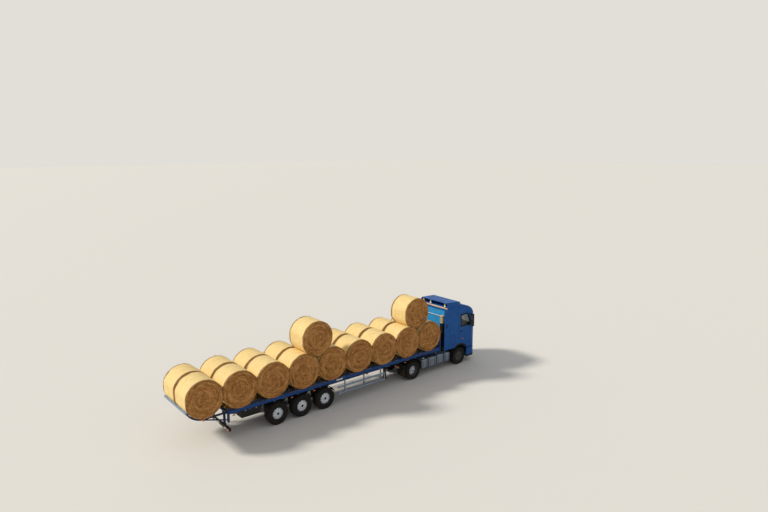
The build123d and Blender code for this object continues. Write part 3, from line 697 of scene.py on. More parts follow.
    def arc(self, section: Sequence[tuple[float, float]], centre: Point, angles: tuple[float, float],
            finish: str) -> None:
        """Turn a section part of the way about the Y axis.

        Args:
            section: radius and place along Y of each corner.
            centre: the axis' middle.
            angles: where it begins and ends, in degrees from +X towards +Z.
            finish: the finish's name.
        """
        form = bmesh.new()
        start = math.radians(angles[0])
        flat_face(form, [(r * math.cos(start), y, r * math.sin(start)) for r, y in section])
        bmesh.ops.spin(form, geom=everything(form), cent=(0, 0, 0), axis=(0, -1, 0), dvec=(0, 0, 0),
                       angle=math.radians(angles[1] - angles[0]), steps=ARC_STEPS, use_merge=False,
                       use_duplicate=False)
        bmesh.ops.recalc_face_normals(form, faces=form.faces)
        self.take(form, finish, [Matrix.Translation(Vector(centre))])

    def paint(self, finish: str, chosen: Callable[[Vector], bool]) -> None:
        """Give another finish to the faces whose middle is chosen."""
        number = self.number(finish)
        for face in self.mesh.faces:
            if chosen(face.calc_center_median()):
                face.material_index = number

    def cut(self, spot: Point, way: Point) -> None:
        """Cut every face along a plane, so that each side can have its own finish."""
        bmesh.ops.bisect_plane(self.mesh, geom=everything(self.mesh), dist=1e-6, plane_co=spot, plane_no=way)


def everything(form: Form) -> list:
    """List a form's vertices, edges and faces."""
    return form.verts[:] + form.edges[:] + form.faces[:]


def box_form(size: Point, middle: Point = (0.0, 0.0, 0.0)) -> Form:
    """Make a plain box of a size round its middle, for working further."""
    form = bmesh.new()
    bmesh.ops.create_cube(form, size=1.0)
    bmesh.ops.scale(form, vec=size, verts=form.verts)
    bmesh.ops.translate(form, vec=middle, verts=form.verts)
    return form


def flat_face(form: Form, corners: Iterable[Point]) -> list[Facet]:
    """Make one flat face from its corners in order."""
    verts = [form.verts.new(corner) for corner in corners]
    return bmesh.ops.contextual_create(form, geom=verts)["faces"]


def drawn(form: Form, faces: Iterable[Facet], way: Point) -> tuple[list[Vert], list[Facet]]:
    """Draw faces out along a way, and give the vertices and faces that this moved there."""
    made = bmesh.ops.extrude_face_region(form, geom=list(faces))["geom"]
    verts = [part for part in made if isinstance(part, Vert)]
    bmesh.ops.translate(form, vec=way, verts=verts)
    return verts, [part for part in made if isinstance(part, Facet)]


def lay(form: Form, start: Point, end: Point) -> None:
    """Lay an upright form, whose middle is at the origin, between two points."""
    run = Vector(end) - Vector(start)
    turn = run.to_track_quat("Z", "Y").to_matrix().to_4x4()
    bmesh.ops.transform(form, matrix=Matrix.Translation(Vector(start) + run / 2) @ turn, verts=form.verts)


def grown(outline: Sequence[tuple[float, float]], by: float) -> list[Vector]:
    """Move the sides of a convex outline, listed anticlockwise, outwards."""
    made = []
    for i, corner in enumerate(outline):
        here = Vector(corner)
        before = here - Vector(outline[i - 1])
        after = Vector(outline[(i + 1) % len(outline)]) - here
        first = Vector((before.y, -before.x)).normalized()
        second = Vector((after.y, -after.x)).normalized()
        made.append(here + (first + second) / (1 + first.dot(second)) * by)
    return made


def soften(form: Form, edges: Iterable[bmesh.types.BMEdge], radius: float, segments: int) -> None:
    """Round edges to a radius."""
    bmesh.ops.bevel(form, geom=list(edges), offset=radius, offset_type="OFFSET", affect="EDGES",
                    segments=segments, profile=0.5, material=-1, clamp_overlap=True)


def turned(points: Sequence[tuple[float, float]], steps: int, closed: bool) -> Form:
    """Turn a section of (radius, y) corners fully about the Y axis."""
    form = bmesh.new()
    row = [form.verts.new((r, y, 0.0)) for r, y in points]
    pairs = list(zip(row, row[1:]))
    if closed:
        pairs.append((row[-1], row[0]))
    edges = [form.edges.new(pair) for pair in pairs]
    bmesh.ops.spin(form, geom=row + edges, cent=(0, 0, 0), axis=(0, 1, 0), dvec=(0, 0, 0), angle=math.tau,
                   steps=steps, use_merge=True, use_duplicate=False)
    bmesh.ops.remove_doubles(form, verts=form.verts, dist=1e-5)
    rims = [e for e in form.edges if e.is_boundary]
    if rims and not closed:
        bmesh.ops.holes_fill(form, edges=rims, sides=0)
    bmesh.ops.recalc_face_normals(form, faces=form.faces)
    return form


def smooth_path(points: Sequence[Vector], rounds: int) -> list[Vector]:
    """Round a path's corners by a curve that passes through them all."""
    ends = [points[0], *points, points[-1]]
    path = []
    for i in range(1, len(ends) - 2):
        before, start, end, after = ends[i - 1:i + 3]
        bend = 2 * before - 5 * start + 4 * end - after
        twist = 3 * start - before - 3 * end + after
        for step in range(rounds):
            t = step / rounds
            path.append(0.5 * (2 * start + (end - before) * t + bend * t ** 2 + twist * t ** 3))
    path.append(points[-1])
    return path


class Workshop:
    """Keeps the frame and the finishes, and turns shapes into pieces that ride on bodies."""

    def __init__(self, frame: dict) -> None:
        """Keep the frame and make each finish's material once."""
        self.nodes = frame["nodes"]
        self.materials = {key: finish.build() for key, finish in FINISHES.items()}
        self.count = 0

    def copy(self, name: str, finish: str, edge_mm: float = 0.0) -> Shape:
        """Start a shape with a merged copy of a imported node.

        Args:
            name: the node's name.
            finish: the finish's name.
            edge_mm: the radius of its sharp edges, which stay sharp at 0.

        Returns:
            The shape.
        """
        form = bmesh.new()
        form.from_mesh(self.nodes[name].data)
        bmesh.ops.remove_doubles(form, verts=form.verts, dist=WELD)
        bmesh.ops.dissolve_limit(form, angle_limit=math.radians(0.3), verts=form.verts, edges=form.edges,
                                 use_dissolve_boundaries=False)
        edge = edge_mm * MM
        if edge:
            sharp = [e for e in form.edges if e.is_manifold and all(v.is_manifold for v in e.verts)
                     and e.calc_face_angle(0) > math.radians(SHARP_DEG)]
            soften(form, sharp, edge, 2 if edge > FINE_EDGE else 1)
        shape = Shape()
        shape.take(form, finish)
        return shape

    def piece(self, name: str, shape: Shape, body: str, replaces: Sequence[str] = (),
              smooth_deg: float = 35.0, even: bool = False) -> bpy.types.Object:
        """Turn a shape into an object that rides on a body.

        Args:
            name: the piece's name.
            shape: its shape in the shared frame, which is freed here.
            body: the body that it moves with.
            replaces: the nodes that it stands for.
            smooth_deg: edges under this angle are shaded smooth.
            even: whether large faces lead the shading, as on flat panels with rounded edges.

        Returns:
            The object.
        """
        mesh = shape.mesh
        bmesh.ops.dissolve_degenerate(mesh, dist=1e-5, edges=mesh.edges)
        for edge in mesh.edges:
            edge.smooth = edge.calc_face_angle(math.pi) < math.radians(smooth_deg)
        for face in mesh.faces:
            face.smooth = True
        data = bpy.data.meshes.new(name)
        mesh.to_mesh(data)
        mesh.free()
        for key in shape.finishes:
            data.materials.append(self.materials[key])
        made = bpy.data.objects.new(name, data)
        bpy.context.scene.collection.objects.link(made)
        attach(made, body)
        if even:
            shading = made.modifiers.new("even", "WEIGHTED_NORMAL")
            shading.keep_sharp = True
        if replaces:
            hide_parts(*replaces)
        self.count += 1
        LOG.info("%s on %s: %d faces", name, body, len(data.polygons))
        return made

    def look(self, name: str, shape: Shape, body: str, smooth_deg: float = 25.0, even: bool = True) -> None:
        """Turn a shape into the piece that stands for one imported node."""
        self.piece(f"{name}_look", shape, body, [name], smooth_deg, even)

    def copies(self, body: str, rows: Iterable[tuple[str, str, float]]) -> None:
        """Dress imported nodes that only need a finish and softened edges.

        Args:
            body: the body that they move with.
            rows: each node's name, its finish and the radius of its edges in millimetres.
        """
        for name, finish, edge_mm in rows:
            self.look(name, self.copy(name, finish, edge_mm), body)


# Straw bales

@dataclass
class Bale:
    """One rolled bale, lying across the lorry.

    Its ends show the rolled layers, its round face is under net wrap, and loose stalks stand out at the rims.
    """

    name: str
    centre: Vector
    floor: Optional[float]
    seed: int
    room: tuple[Vector, Vector]
    below: tuple[tuple[float, float], ...] = ()

    FULL_RADIUS = 0.855
    PRESSED = 0.815
    LENGTH = 1.300
    LUMPS = 0.011
    UNEVEN_END = 0.014
    STEPS = 88
    END_RINGS = 24
    WRAP_ROWS = 12
    SHOULDER = 0.040
    LAYER = 0.058
    STALKS = 420
    AT_RIM = 0.62
    STALK_RADII = (0.0038, 0.0014)
    CLEARANCE = 0.01
    SWELLS = ((0.012, 1.6), (0.007, 5.0))
    LAYER_RISE = 0.006
    HEAVE = 0.018
    DISH = 0.014
    PROUD = 0.012

    @property
    def radius(self) -> float:
        """Its mean radius, a little under the full one that its lumps reach."""
        return self.FULL_RADIUS - self.LUMPS

    @property
    def half(self) -> float:
        """Half its mean length, a little under the full one that its layers reach."""
        return self.LENGTH / 2 - self.UNEVEN_END

    def outline(self) -> list[tuple[float, float]]:
        """List the profile's radius and place along the axis from one end's middle to the other's."""
        flat = self.radius - self.SHOULDER
        points = [(flat * ring / self.END_RINGS, -self.half) for ring in range(1, self.END_RINGS + 1)]
        for step in (1, 2, 3):
            angle = math.radians(step * 30)
            points.append((flat + self.SHOULDER * math.sin(angle),
                           -self.half + self.SHOULDER * (1 - math.cos(angle))))
        inner = self.half - self.SHOULDER
        for row in range(1, self.WRAP_ROWS):
            points.append((self.radius, -inner + 2 * inner * row / self.WRAP_ROWS))
        mirrored = [(r, -y) for r, y in reversed(points[:self.END_RINGS + 3])]
        return points + mirrored

    def lump(self, angle: float, along: float, scale: float) -> float:
        """Give the bale's own unevenness at a place on it."""
        spot = Vector((math.cos(angle) * scale, math.sin(angle) * scale, along * scale + self.seed * 7.3))
        return noise.noise(spot)

    def shell(self) -> Form:
        """Build the rolled body with its layers, lumps and flat foot."""
        mesh = turned(self.outline(), self.STEPS, closed=False)
        bmesh.ops.triangulate(mesh, faces=[f for f in mesh.faces if len(f.verts) > 4])
        self.unwrap(mesh)
        self.shape(mesh)
        return mesh

    def unwrap(self, mesh: Form) -> None:
        """Lay straw coordinates: turns round the axis, and metres along it or, on the ends, out from it."""
        layer = mesh.loops.layers.uv.new("straw")
        flat = self.radius - self.SHOULDER * 0.6
        for face in mesh.faces:
            centre = face.calc_center_median()
            on_end = math.hypot(centre.x, centre.z) < flat
            face.material_index = 1 if on_end else 0
            middle = math.atan2(centre.z, centre.x)
            for loop in face.loops:
                place = loop.vert.co
                angle = math.atan2(place.z, place.x)
                if angle - middle > math.pi:
                    angle -= math.tau
                elif middle - angle > math.pi:
                    angle += math.tau
                along = math.hypot(place.x, place.z) if on_end else place.y
                loop[layer].uv = (angle / math.tau + self.seed, along)

    def shape(self, mesh: Form) -> None:
        """Press the layers, lumps and the flat foot into the body, and put it in its place."""
        for vert in mesh.verts:
            place = vert.co.copy()
            radius = math.hypot(place.x, place.z)
            angle = math.atan2(place.z, place.x)
            share = radius / self.radius
            swell = sum(much * self.lump(angle, place.y, scale) for much, scale in self.SWELLS)
            reach = min(radius + swell * share, self.FULL_RADIUS)
            height = 0.0
            if abs(place.y) > self.half - self.SHOULDER * 0.9:
                layer = math.sin(math.tau * (radius / self.LAYER + angle / math.tau))
                height = self.LAYER_RISE * layer * min(1.0, (self.radius - radius) / 0.05)
                height += self.HEAVE * self.lump(angle, radius * 3 + place.y, 3.0)
                height -= self.DISH * (1 - share) ** 2
            along = place.y + math.copysign(min(height, self.PROUD), place.y)
            vert.co = self.pressed(self.centre + Vector((math.cos(angle) * reach, along,
                                                         math.sin(angle) * reach)))

    def pressed(self, place: Vector) -> Vector:
        """Press a spot out of the next bales, the deck and the bales below."""
        place.x = max(self.centre.x - self.PRESSED, min(self.centre.x + self.PRESSED, place.x))
        if self.floor is not None:
            place.z = max(place.z, self.floor)
        for x, z in self.below:
            away = Vector((place.x - x, place.z - z))
            if away.length < self.FULL_RADIUS:
                away.length = self.FULL_RADIUS
                place.x, place.z = x + away.x, z + away.y
        return place

    def has_room(self, *spots: Vector) -> bool:
        """Say whether spots lie inside the box that the whole lorry keeps to."""
        return all(low + self.CLEARANCE < place < high - self.CLEARANCE
                   for spot in spots for low, place, high in zip(self.room[0], spot, self.room[1]))

    def loose(self, mesh: Form) -> None:
        """Stand loose stalks out of both rims and the ends."""
        rng = random.Random(self.seed)
        layer = mesh.loops.layers.uv["straw"]
        tuft = bmesh.new()
        for _ in range(self.STALKS):
            angle = rng.uniform(0, math.tau)
            sign = rng.choice((-1, 1))
            at_rim = rng.random() < self.AT_RIM
            inward = rng.uniform(0.0, 0.03) if at_rim else self.radius * (1 - rng.random() ** 0.5 * 0.95)
            radius = self.radius - inward
            along = sign * (self.half - rng.uniform(0.0, 0.02 if not at_rim else 0.05))
            out = Vector((math.cos(angle), 0, math.sin(angle)))
            root = out * max(0.05, radius) + Vector((0, along, 0))
            lean = Vector((rng.uniform(-1, 1), sign * rng.uniform(0.05, 0.7), rng.uniform(-1, 1)))
            lean += out * (rng.uniform(0.0, 0.35) if at_rim else 0.0)
            if not at_rim:
                lean.y = sign * rng.uniform(0.02, 0.22)
            lean.normalize()
            length = rng.uniform(0.04, 0.12)
            foot = self.pressed(self.centre + root)
            tip = foot + lean * length
            if self.floor is not None and foot.z < self.floor + 0.05:
                continue
            if not self.has_room(foot, tip):
                continue
            turn = lean.to_track_quat("Z", "Y").to_matrix().to_4x4()
            place = Matrix.Translation(foot + lean * length * 0.45) @ turn
            bmesh.ops.create_cone(tuft, cap_ends=True, segments=3, radius1=self.STALK_RADII[0],
                                  radius2=self.STALK_RADII[1], depth=length, matrix=place)
        made = bpy.data.meshes.new("stalks")
        tuft.to_mesh(made)
        tuft.free()
        known = len(mesh.faces)
        mesh.from_mesh(made)
        bpy.data.meshes.remove(made)
        mesh.faces.ensure_lookup_table()
        for face in mesh.faces[known:]:
            face.material_index = 2
            for loop in face.loops:
                loop[layer].uv = (loop.vert.co.x + loop.vert.co.y, loop.vert.co.z)

    def build(self, shop: Workshop, node: str) -> None:
        """Make the whole bale as one piece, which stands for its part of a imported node."""
        shape = Shape()
        shape.mesh.free()
        shape.mesh = self.shell()
        shape.finishes = ["wrap", "straw_end", "straw_loose"]
        self.loose(shape.mesh)
        shop.piece(self.name, shape, "trailer", [node], 60.0)


@dataclass
class Load:
    """The two rows of bales and the two that lie on top."""

    pairs: int = 9
    pitch: float = 1.634
    first: float = 0.813
    seam: float = 0.005
    first_seeds: tuple = (17, 71)

    def build(self, shop: Workshop) -> None:
        """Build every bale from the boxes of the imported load."""
        low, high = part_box("bales_lower")
        deck_low, deck_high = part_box("deck_floor")
        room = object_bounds()
        half = Bale.LENGTH / 2
        height = high.z - Bale.FULL_RADIUS
        for i in range(self.pairs):
            x = low.x + self.first + self.pitch * i
            for side, sign in SIDES.items():
                floor = deck_high.z if x > deck_low.x else None
                centre = Vector((x, sign * (self.seam + half), height))
                seed = self.first_seeds[0] + i * 2 + int(sign > 0)
                Bale(f"bale_{i + 1}_{side}", centre, floor, seed, room).build(shop, "bales_lower")
        top_low, top_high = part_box("bales_top")
        reach = Bale.FULL_RADIUS
        places = ((top_low.x + reach, top_low.y + half), (top_high.x - reach, top_high.y - half))
        for i, (x, y) in enumerate(places):
            below = ((x - self.pitch / 2, height), (x + self.pitch / 2, height))
            centre = Vector((x, y, top_high.z - reach))
            bale = Bale(f"bale_top_{i + 1}", centre, None, self.first_seeds[1] + i, room, below)
            bale.build(shop, "bales_top")


# Wheels

@dataclass
class Wheel:
    """One wheel: its rubber with ribs and lugs, and its pressed steel disc with nuts and hub cap.

    Sizes are in metres, and places along Y are for the left side.
    """

    NUTS = 10
    TREAD_SHARE = 0.82
    GROOVES = (-0.62, -0.21, 0.21, 0.62)
    GROOVE = 0.011
    GROOVE_DEEP = 0.013
    HOLE = (0.019, 0.034)
    HOLE_CIRCLE = 0.226
    DISC_THICK = 0.016

    kind: str
    x: float
    radius: float
    width: float
    outer: float
    disc: float
    hub: float
    hub_radius: float = 0.118
    nut_circle: float = 0.160
    rim_radius: float = 0.286
    twin_pitch: float = 0.0
    lugs: int = 60
    paint: str = "rim"

    def rubber(self, shape: Shape, outer: float) -> None:
        """Turn the tyre's section, with its grooves, and set lugs round both shoulders."""
        half = self.width / 2
        middle = outer - half
        tread = half * self.TREAD_SHARE
        bulge = 0.84 * self.radius
        side = [(self.rim_radius + 0.001, 0.85), (0.303, 0.895), (0.312, 0.925), (0.330, 0.935),
                (0.372, 0.975), (bulge - 0.012, 0.998), (bulge + 0.02, 0.992), (self.radius - 0.034, 0.955),
                (self.radius - 0.012, 0.90), (self.radius - 0.002, 0.85)]
        section = [(r, middle - half * share) for r, share in side]
        for share in self.GROOVES:
            at = middle + tread * share
            for edge, deep in ((-0.5, 0.0), (-0.35, self.GROOVE_DEEP), (0.35, self.GROOVE_DEEP), (0.5, 0.0)):
                section.append((self.radius - deep, at + self.GROOVE * edge))
        section += [(r, middle + half * share) for r, share in reversed(side)]
        shape.lathe(section, (self.x, 0, self.radius), "rubber", steps=72)
        lug = box_form((0.034, half * 0.13, 0.028))
        soften(lug, lug.edges, 0.004, 1)
        turns = []
        for i in range(self.lugs):
            for sign in (-1, 1):
                spot = Matrix.Translation((0, middle + sign * half * 0.885, self.radius - 0.022))
                about = Matrix.Rotation(math.tau * (i + (0.5 if sign > 0 else 0)) / self.lugs, 4, "Y")
                turns.append(Matrix.Translation((self.x, 0, self.radius)) @ about @ spot)
        shape.take(lug, "rubber", turns)

    def disc_form(self) -> Form:
        """Build the disc with its ten hand holes, from the hub to the well."""
        inner_r = self.hub_radius + 0.010
        outer_r = self.rim_radius - 0.030
        half_turn = math.pi / self.NUTS
        form = bmesh.new()
        outline = []
        for radius, other, angle in ((outer_r, inner_r, -half_turn), (inner_r, outer_r, half_turn)):
            for step in range(4):
                outline.append((radius, angle - 2 * angle * step / 4))
            for step in range(3):
                outline.append((radius + (other - radius) * step / 3, -angle))
        edge_verts = [form.verts.new((radius * math.cos(angle), self.disc, radius * math.sin(angle)))
                      for radius, angle in outline]
        outer_edges = [form.edges.new(ends) for ends in zip(edge_verts, edge_verts[1:] + edge_verts[:1])]
        hole = bmesh.ops.create_circle(form, segments=len(outline), radius=1.0)["verts"]
        bmesh.ops.rotate(form, cent=(0, 0, 0), matrix=Matrix.Rotation(math.pi / 2, 3, "X"), verts=hole)
        bmesh.ops.scale(form, vec=(self.HOLE[0], 1.0, self.HOLE[1]), verts=hole)
        bmesh.ops.translate(form, vec=(self.HOLE_CIRCLE, self.disc, 0), verts=hole)
        hole_edges = [e for e in form.edges if e not in outer_edges]
        bmesh.ops.bridge_loops(form, edges=outer_edges + hole_edges)
        tenth = everything(form)
        for i in range(1, self.NUTS):
            made = bmesh.ops.duplicate(form, geom=tenth)["geom"]
            bmesh.ops.rotate(form, cent=(0, 0, 0), matrix=Matrix.Rotation(math.tau * i / self.NUTS, 3, "Y"),
                             verts=[v for v in made if isinstance(v, Vert)])
        bmesh.ops.remove_doubles(form, verts=form.verts, dist=WELD)
        drawn(form, form.faces, (0, -self.DISC_THICK, 0))
        bmesh.ops.recalc_face_normals(form, faces=form.faces)
        return form

    def metal(self, shape: Shape) -> None:
        """Build the well, the disc with its holes, the hub, the nuts and the drum behind."""
        middle = self.outer - self.width / 2
        half = self.width / 2 * RIM_SHARE
        lip = middle + half
        back = middle - half - self.twin_pitch
        r = self.rim_radius
        axle = (self.x, 0, self.radius)
        # The well and lip are dark grey as painted shade inside the rim; the disc keeps the wheel's own paint.
        shape.lathe([(r - 0.001, back + 0.001), (r - 0.001, lip - 0.003), (r - 0.003, lip - 0.0005),
                     (r - 0.013, lip - 0.0005), (r - 0.017, lip - 0.006), (r - 0.021, lip - 0.030),
                     (r - 0.030, self.disc), (r - 0.034, self.disc - 0.030), (r - 0.020, back + 0.001)],
                    axle, "rim_painted_shade", steps=60)
        shape.take(self.disc_form(), self.paint, [Matrix.Translation(axle)])
        cap = self.hub_radius
        shape.lathe([(cap + 0.012, self.disc - 0.01), (cap + 0.010, self.disc + 0.004),
                     (cap, self.disc + 0.012), (cap - 0.004, self.hub - 0.014),
                     (cap - 0.014, self.hub - 0.003), (0.066, self.hub - 0.002), (0.064, self.disc - 0.01)],
                    axle, self.paint, steps=40)
        shape.lathe([(0.066, self.hub - 0.016), (0.062, self.hub - 0.003), (0.050, self.hub),
                     (0.0, self.hub), (0.0, self.hub - 0.016)], axle, "plastic", steps=32)
        shape.lathe([(0.204, self.disc - 0.060), (r - 0.035, self.disc - 0.040),
                     (r - 0.035, self.disc - 0.028), (0.10, self.disc - 0.028), (0.10, self.disc - 0.060)],
                    axle, "black_paint", steps=40)
        nut_turns = [Matrix.Translation(axle) @ Matrix.Rotation(math.tau * (i + 0.5) / self.NUTS, 4, "Y")
                     for i in range(self.NUTS)]
        for start, end, radius, finish, sides, edge in (
                (-0.002, 0.004, 0.022, self.paint, 14, 0.0), (0.0, 0.024, 0.0165, self.paint, 6, 0.003),
                (0.020, 0.034, 0.010, "steel", 10, 0.0)):
            shape.rod((0, self.disc + start, self.nut_circle), (0, self.disc + end, self.nut_circle), radius,
                      finish, sides, edge, nut_turns)
        valve = Matrix.Translation(axle) @ Matrix.Rotation(0.9, 4, "Y")
        shape.rod((0, self.disc - 0.01, r - 0.045), (0, self.disc + 0.030, r - 0.040), 0.005, "steel", 8,
                  places=[valve])

    def build(self, shop: Workshop) -> None:
        """Build the wheel's two pieces on both sides."""
        for side, sign in SIDES.items():
            rubber = Shape()
            self.rubber(rubber, self.outer)
            if self.twin_pitch:
                self.rubber(rubber, self.outer - self.twin_pitch)
            metal = Shape()
            self.metal(metal)
            for shape, name in ((rubber, "tyre"), (metal, "rim")):
                if sign < 0:
                    bmesh.ops.transform(shape.mesh, matrix=Matrix.Scale(-1, 4, (0, 1, 0)),
                                        verts=shape.mesh.verts)
                    bmesh.ops.reverse_faces(shape.mesh, faces=shape.mesh.faces)
                shop.piece(f"{name}_look_{self.kind}_{side}", shape, f"wheel_{self.kind}_{side}",
                           [f"{name}_{self.kind}_{side}"])


def axle_x(kind: str) -> float:
    """Say where a kind of wheel stands along the lorry."""
    low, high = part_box(f"tyre_{kind}_left")
    return (low.x + high.x) / 2


def wheels() -> list[Wheel]:
    """List the kinds of wheel with their places: radius, width, outer side, disc and hub."""
    rows = [Wheel(f"trailer_{axle}", axle_x(f"trailer_{axle}"), TRAILER_RADIUS, 0.385, 1.232, 1.172, 1.215)
            for axle in TRAILER_AXLES]
    rows.append(Wheel("drive", axle_x("drive"), 0.507, 0.300, 1.235, 1.067, 1.215, hub_radius=0.106,
                      nut_circle=0.155, twin_pitch=0.330, lugs=44))
    # The steer wheels' discs are dark grey as painted shade under the cab's arches.
    rows.append(Wheel("steer", axle_x("steer"), 0.507, 0.315, 1.200, 1.152, 1.192, paint="rim_painted_shade"))
    return rows


# Trailer

@dataclass
class Trailer:
    """The flatbed: deck, rails, headboard, rear rack, running gear, guards and boxes."""

    rear: float = -7.010
    front: float = 5.810
    neck_break: float = 4.610
    deck_top: float = 1.390
    half: float = 1.270
    boards: int = 8
    board_reach: float = 0.940
    plates: int = 8
    rail_deep: float = 0.150
    hooks: int = 18
    hook_pitch: float = 0.62
    winches: int = 7
    winch_pitch: float = 1.55
    stalks: int = 1500
    marker_places: tuple = (-6.80, -3.88, -2.65, 0.60, 3.20)
    rng: random.Random = field(default_factory=lambda: random.Random(5))

    @property
    def rail_low(self) -> float:
        """The height of the side rails' lower edge."""
        return self.deck_top - self.rail_deep

    def deck(self, shop: Workshop) -> None:
        """Lay the boards along the deck's middle, and blue steel plates along both of its edges."""
        shape = Shape()
        low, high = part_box("deck_floor")
        wide = 2 * self.board_reach / self.boards
        for i in range(self.boards):
            start = -self.board_reach + wide * i
            shape.block((low.x, start + 0.002, low.z), (high.x, start + wide - 0.002, high.z), "board",
                        segments=1)
        long = (high.x - low.x) / self.plates
        for i in range(self.plates):
            start = low.x + long * i
            shape.pair((start + 0.001, self.board_reach + 0.002, low.z),
                       (start + long - 0.001, high.y, high.z), "deck_steel", 0.003, 1)
        shop.piece("deck_boards", shape, "trailer", ["deck_floor"])

    def litter(self, shop: Workshop) -> None:
        """Scatter broken stalks on the deck and the rails."""
        shape = Shape()
        for _ in range(self.stalks):
            on_rail = self.rng.random() < 0.45
            x = self.rng.uniform(self.rear + 0.1, self.front - 0.1)
            y = self.rng.choice((-1, 1)) * (self.rng.uniform(1.19, 1.262) if on_rail and x < self.neck_break
                                            else self.rng.uniform(0.0, 1.18))
            turn = self.rng.uniform(0, math.tau)
            length = self.rng.uniform(0.03, 0.11)
            run = Vector((math.cos(turn), math.sin(turn) * 0.4, self.rng.uniform(0.0, 0.12))) * length
            start = Vector((x, y, self.deck_top + 0.002))
            shape.rod(start, start + run, 0.0035, "straw_loose", sides=3)
        shop.piece("deck_litter", shape, "trailer")

    def rails(self, shop: Workshop) -> None:
        """Fold the side rails with their flanges, rope hooks and the blank strip on them."""
        shape = Shape()
        low, top = self.rail_low, self.deck_top
        for high_y, low_z, high_z, edge in ((1.256, low, top, 0.004), (self.half, top - 0.034, top, 0.006),
                                            (self.half, low, low + 0.030, 0.006)):
            shape.pair((self.rear, 1.2, low_z), (self.neck_break, high_y, high_z), "rail_blue", edge)
        shape.pair((self.neck_break - 0.004, 1.2, 1.19), (self.front, 1.225, top), "rail_blue", 0.006)
        for sign in SIDES.values():
            for i in range(self.hooks):
                self.hook(shape, self.rear + 0.35 + self.hook_pitch * i, sign)
        shape.pair((-1.36, 1.254, low + 0.040), (-0.97, 1.262, top - 0.040), "plate", 0.002)
        shop.piece("rails_look", shape, "trailer", ["side_rails"])

    def hook(self, shape: Shape, x: float, sign: float) -> None:
        """Bend one rope hook under a rail."""
        corners = ((-0.05, 1.245, 0.004), (-0.045, 1.258, -0.020), (0.0, 1.262, -0.034),
                   (0.045, 1.258, -0.020), (0.05, 1.245, 0.004))
        path = [(x + along, sign * out, self.rail_low + up) for along, out, up in corners]
        shape.hose(path, 0.006, "steel", rounds=3)

    def markers(self, shop: Workshop) -> None:
        """Hang the side marker lamps and the strap winches under the rails."""
        shape = Shape()
        low = self.rail_low
        for x in self.marker_places:
            shape.pair((x - 0.012, 1.215, low - 0.13), (x + 0.012, 1.221, low + 0.01), "plastic", 0.002)
            shape.pair((x - 0.065, 1.215, low - 0.135), (x + 0.065, 1.232, low - 0.085), "plastic", 0.005)
            shape.pair((x - 0.055, 1.228, low - 0.130), (x + 0.055, 1.242, low - 0.090), "amber_lens",
                       0.006, 3)
        for i in range(self.winches):
            self.winch(shape, self.rear + 1.15 + self.winch_pitch * i)
        shop.piece("markers_and_winches", shape, "trailer")

    def winch(self, shape: Shape, x: float) -> None:
        """Build one strap winch on each side: two cheeks, a drum and its ratchet wheel."""
        low = self.rail_low
        for cheek in (x - 0.050, x + 0.050):
            shape.pair((cheek - 0.003, 1.150, low - 0.075), (cheek + 0.003, 1.225, low + 0.002),
                       "black_paint", 0.001)
        for sign in SIDES.values():
            for ends, radius, sides, edge in (((-0.075, 0.075), 0.020, 16, 0.002),
                                              ((0.054, 0.062), 0.036, 12, 0.0)):
                start, end = [(x + along, sign * 1.190, low - 0.040) for along in ends]
                shape.rod(start, end, radius, "steel", sides, edge)

    def rack(self, shop: Workshop) -> None:
        """Dress the rear rack in the darker frame blue as painted shade, with its crossbar pale as painted
        sunlight, the dark lamp bar and reflectors on its struts.
        """
        shape = shop.copy("rear_rack", "shaded_frame_blue", 4)
        bar_front = -8.8515
        # The crossbar is pale blue-grey as painted sunlight on it.
        shape.paint("pale_bar", lambda spot: spot.x < bar_front and spot.z > 1.7)
        shape.paint("black_paint", lambda spot: spot.z < 0.565 and spot.x > -7.07)
        shape.pair((-8.215, 1.228, 1.262), (-8.125, 1.238, 1.352), "amber_lens", 0.004)
        shape.pair((-7.058, 1.268, 0.92), (-7.040, 1.274, 1.02), "red_lens", 0.003)
        shop.look("rear_rack", shape, "trailer")

    def guards(self, shop: Workshop) -> None:
        """Dress the side guards: pale rails on dark posts, with bolts and end caps."""
        shape = shop.copy("side_guards", "guard", 4)
        post_face = 1.2145
        shape.paint("black_paint", lambda spot: abs(spot.y) < post_face)
        low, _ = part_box("side_guards")
        rail_heights = (0.57, 0.90)
        for sign in SIDES.values():
            for post in (-0.80, 0.40, 1.50):
                for z in rail_heights:
                    for x in (post - 0.018, post + 0.018):
                        shape.rod((x, sign * 1.238, z), (x, sign * 1.247, z), 0.009, "steel", 6)
        for z in rail_heights:
            shape.pair((low.x - 0.004, 1.213, z - 0.052), (low.x + 0.012, 1.243, z + 0.052), "plastic")
        shop.look("side_guards", shape, "trailer")

    def legs(self, shop: Workshop) -> None:
        """Dress the landing legs, with their gearbox, shaft and folded crank."""
        shape = shop.copy("landing_legs", "black_paint", 4)
        x = 2.09
        z = 0.98
        shape.pair((x - 0.050, 0.770, 0.40), (x + 0.050, 0.870, 0.66), "steel", 0.006)
        for sign in SIDES.values():
            shape.rod((x, sign * 0.88, z), (x, sign * 0.93, z), 0.045, "black_paint", 20, 0.004)
        shape.rod((x, -0.93, z), (x, -1.10, z), 0.012, "steel", 10)
        shape.rod((x, -1.09, z), (x - 0.22, -1.09, z), 0.010, "steel", 10)
        shape.rod((x - 0.215, -1.09, z), (x - 0.215, -1.20, z), 0.013, "plastic", 12, 0.003)
        shop.look("landing_legs", shape, "trailer")

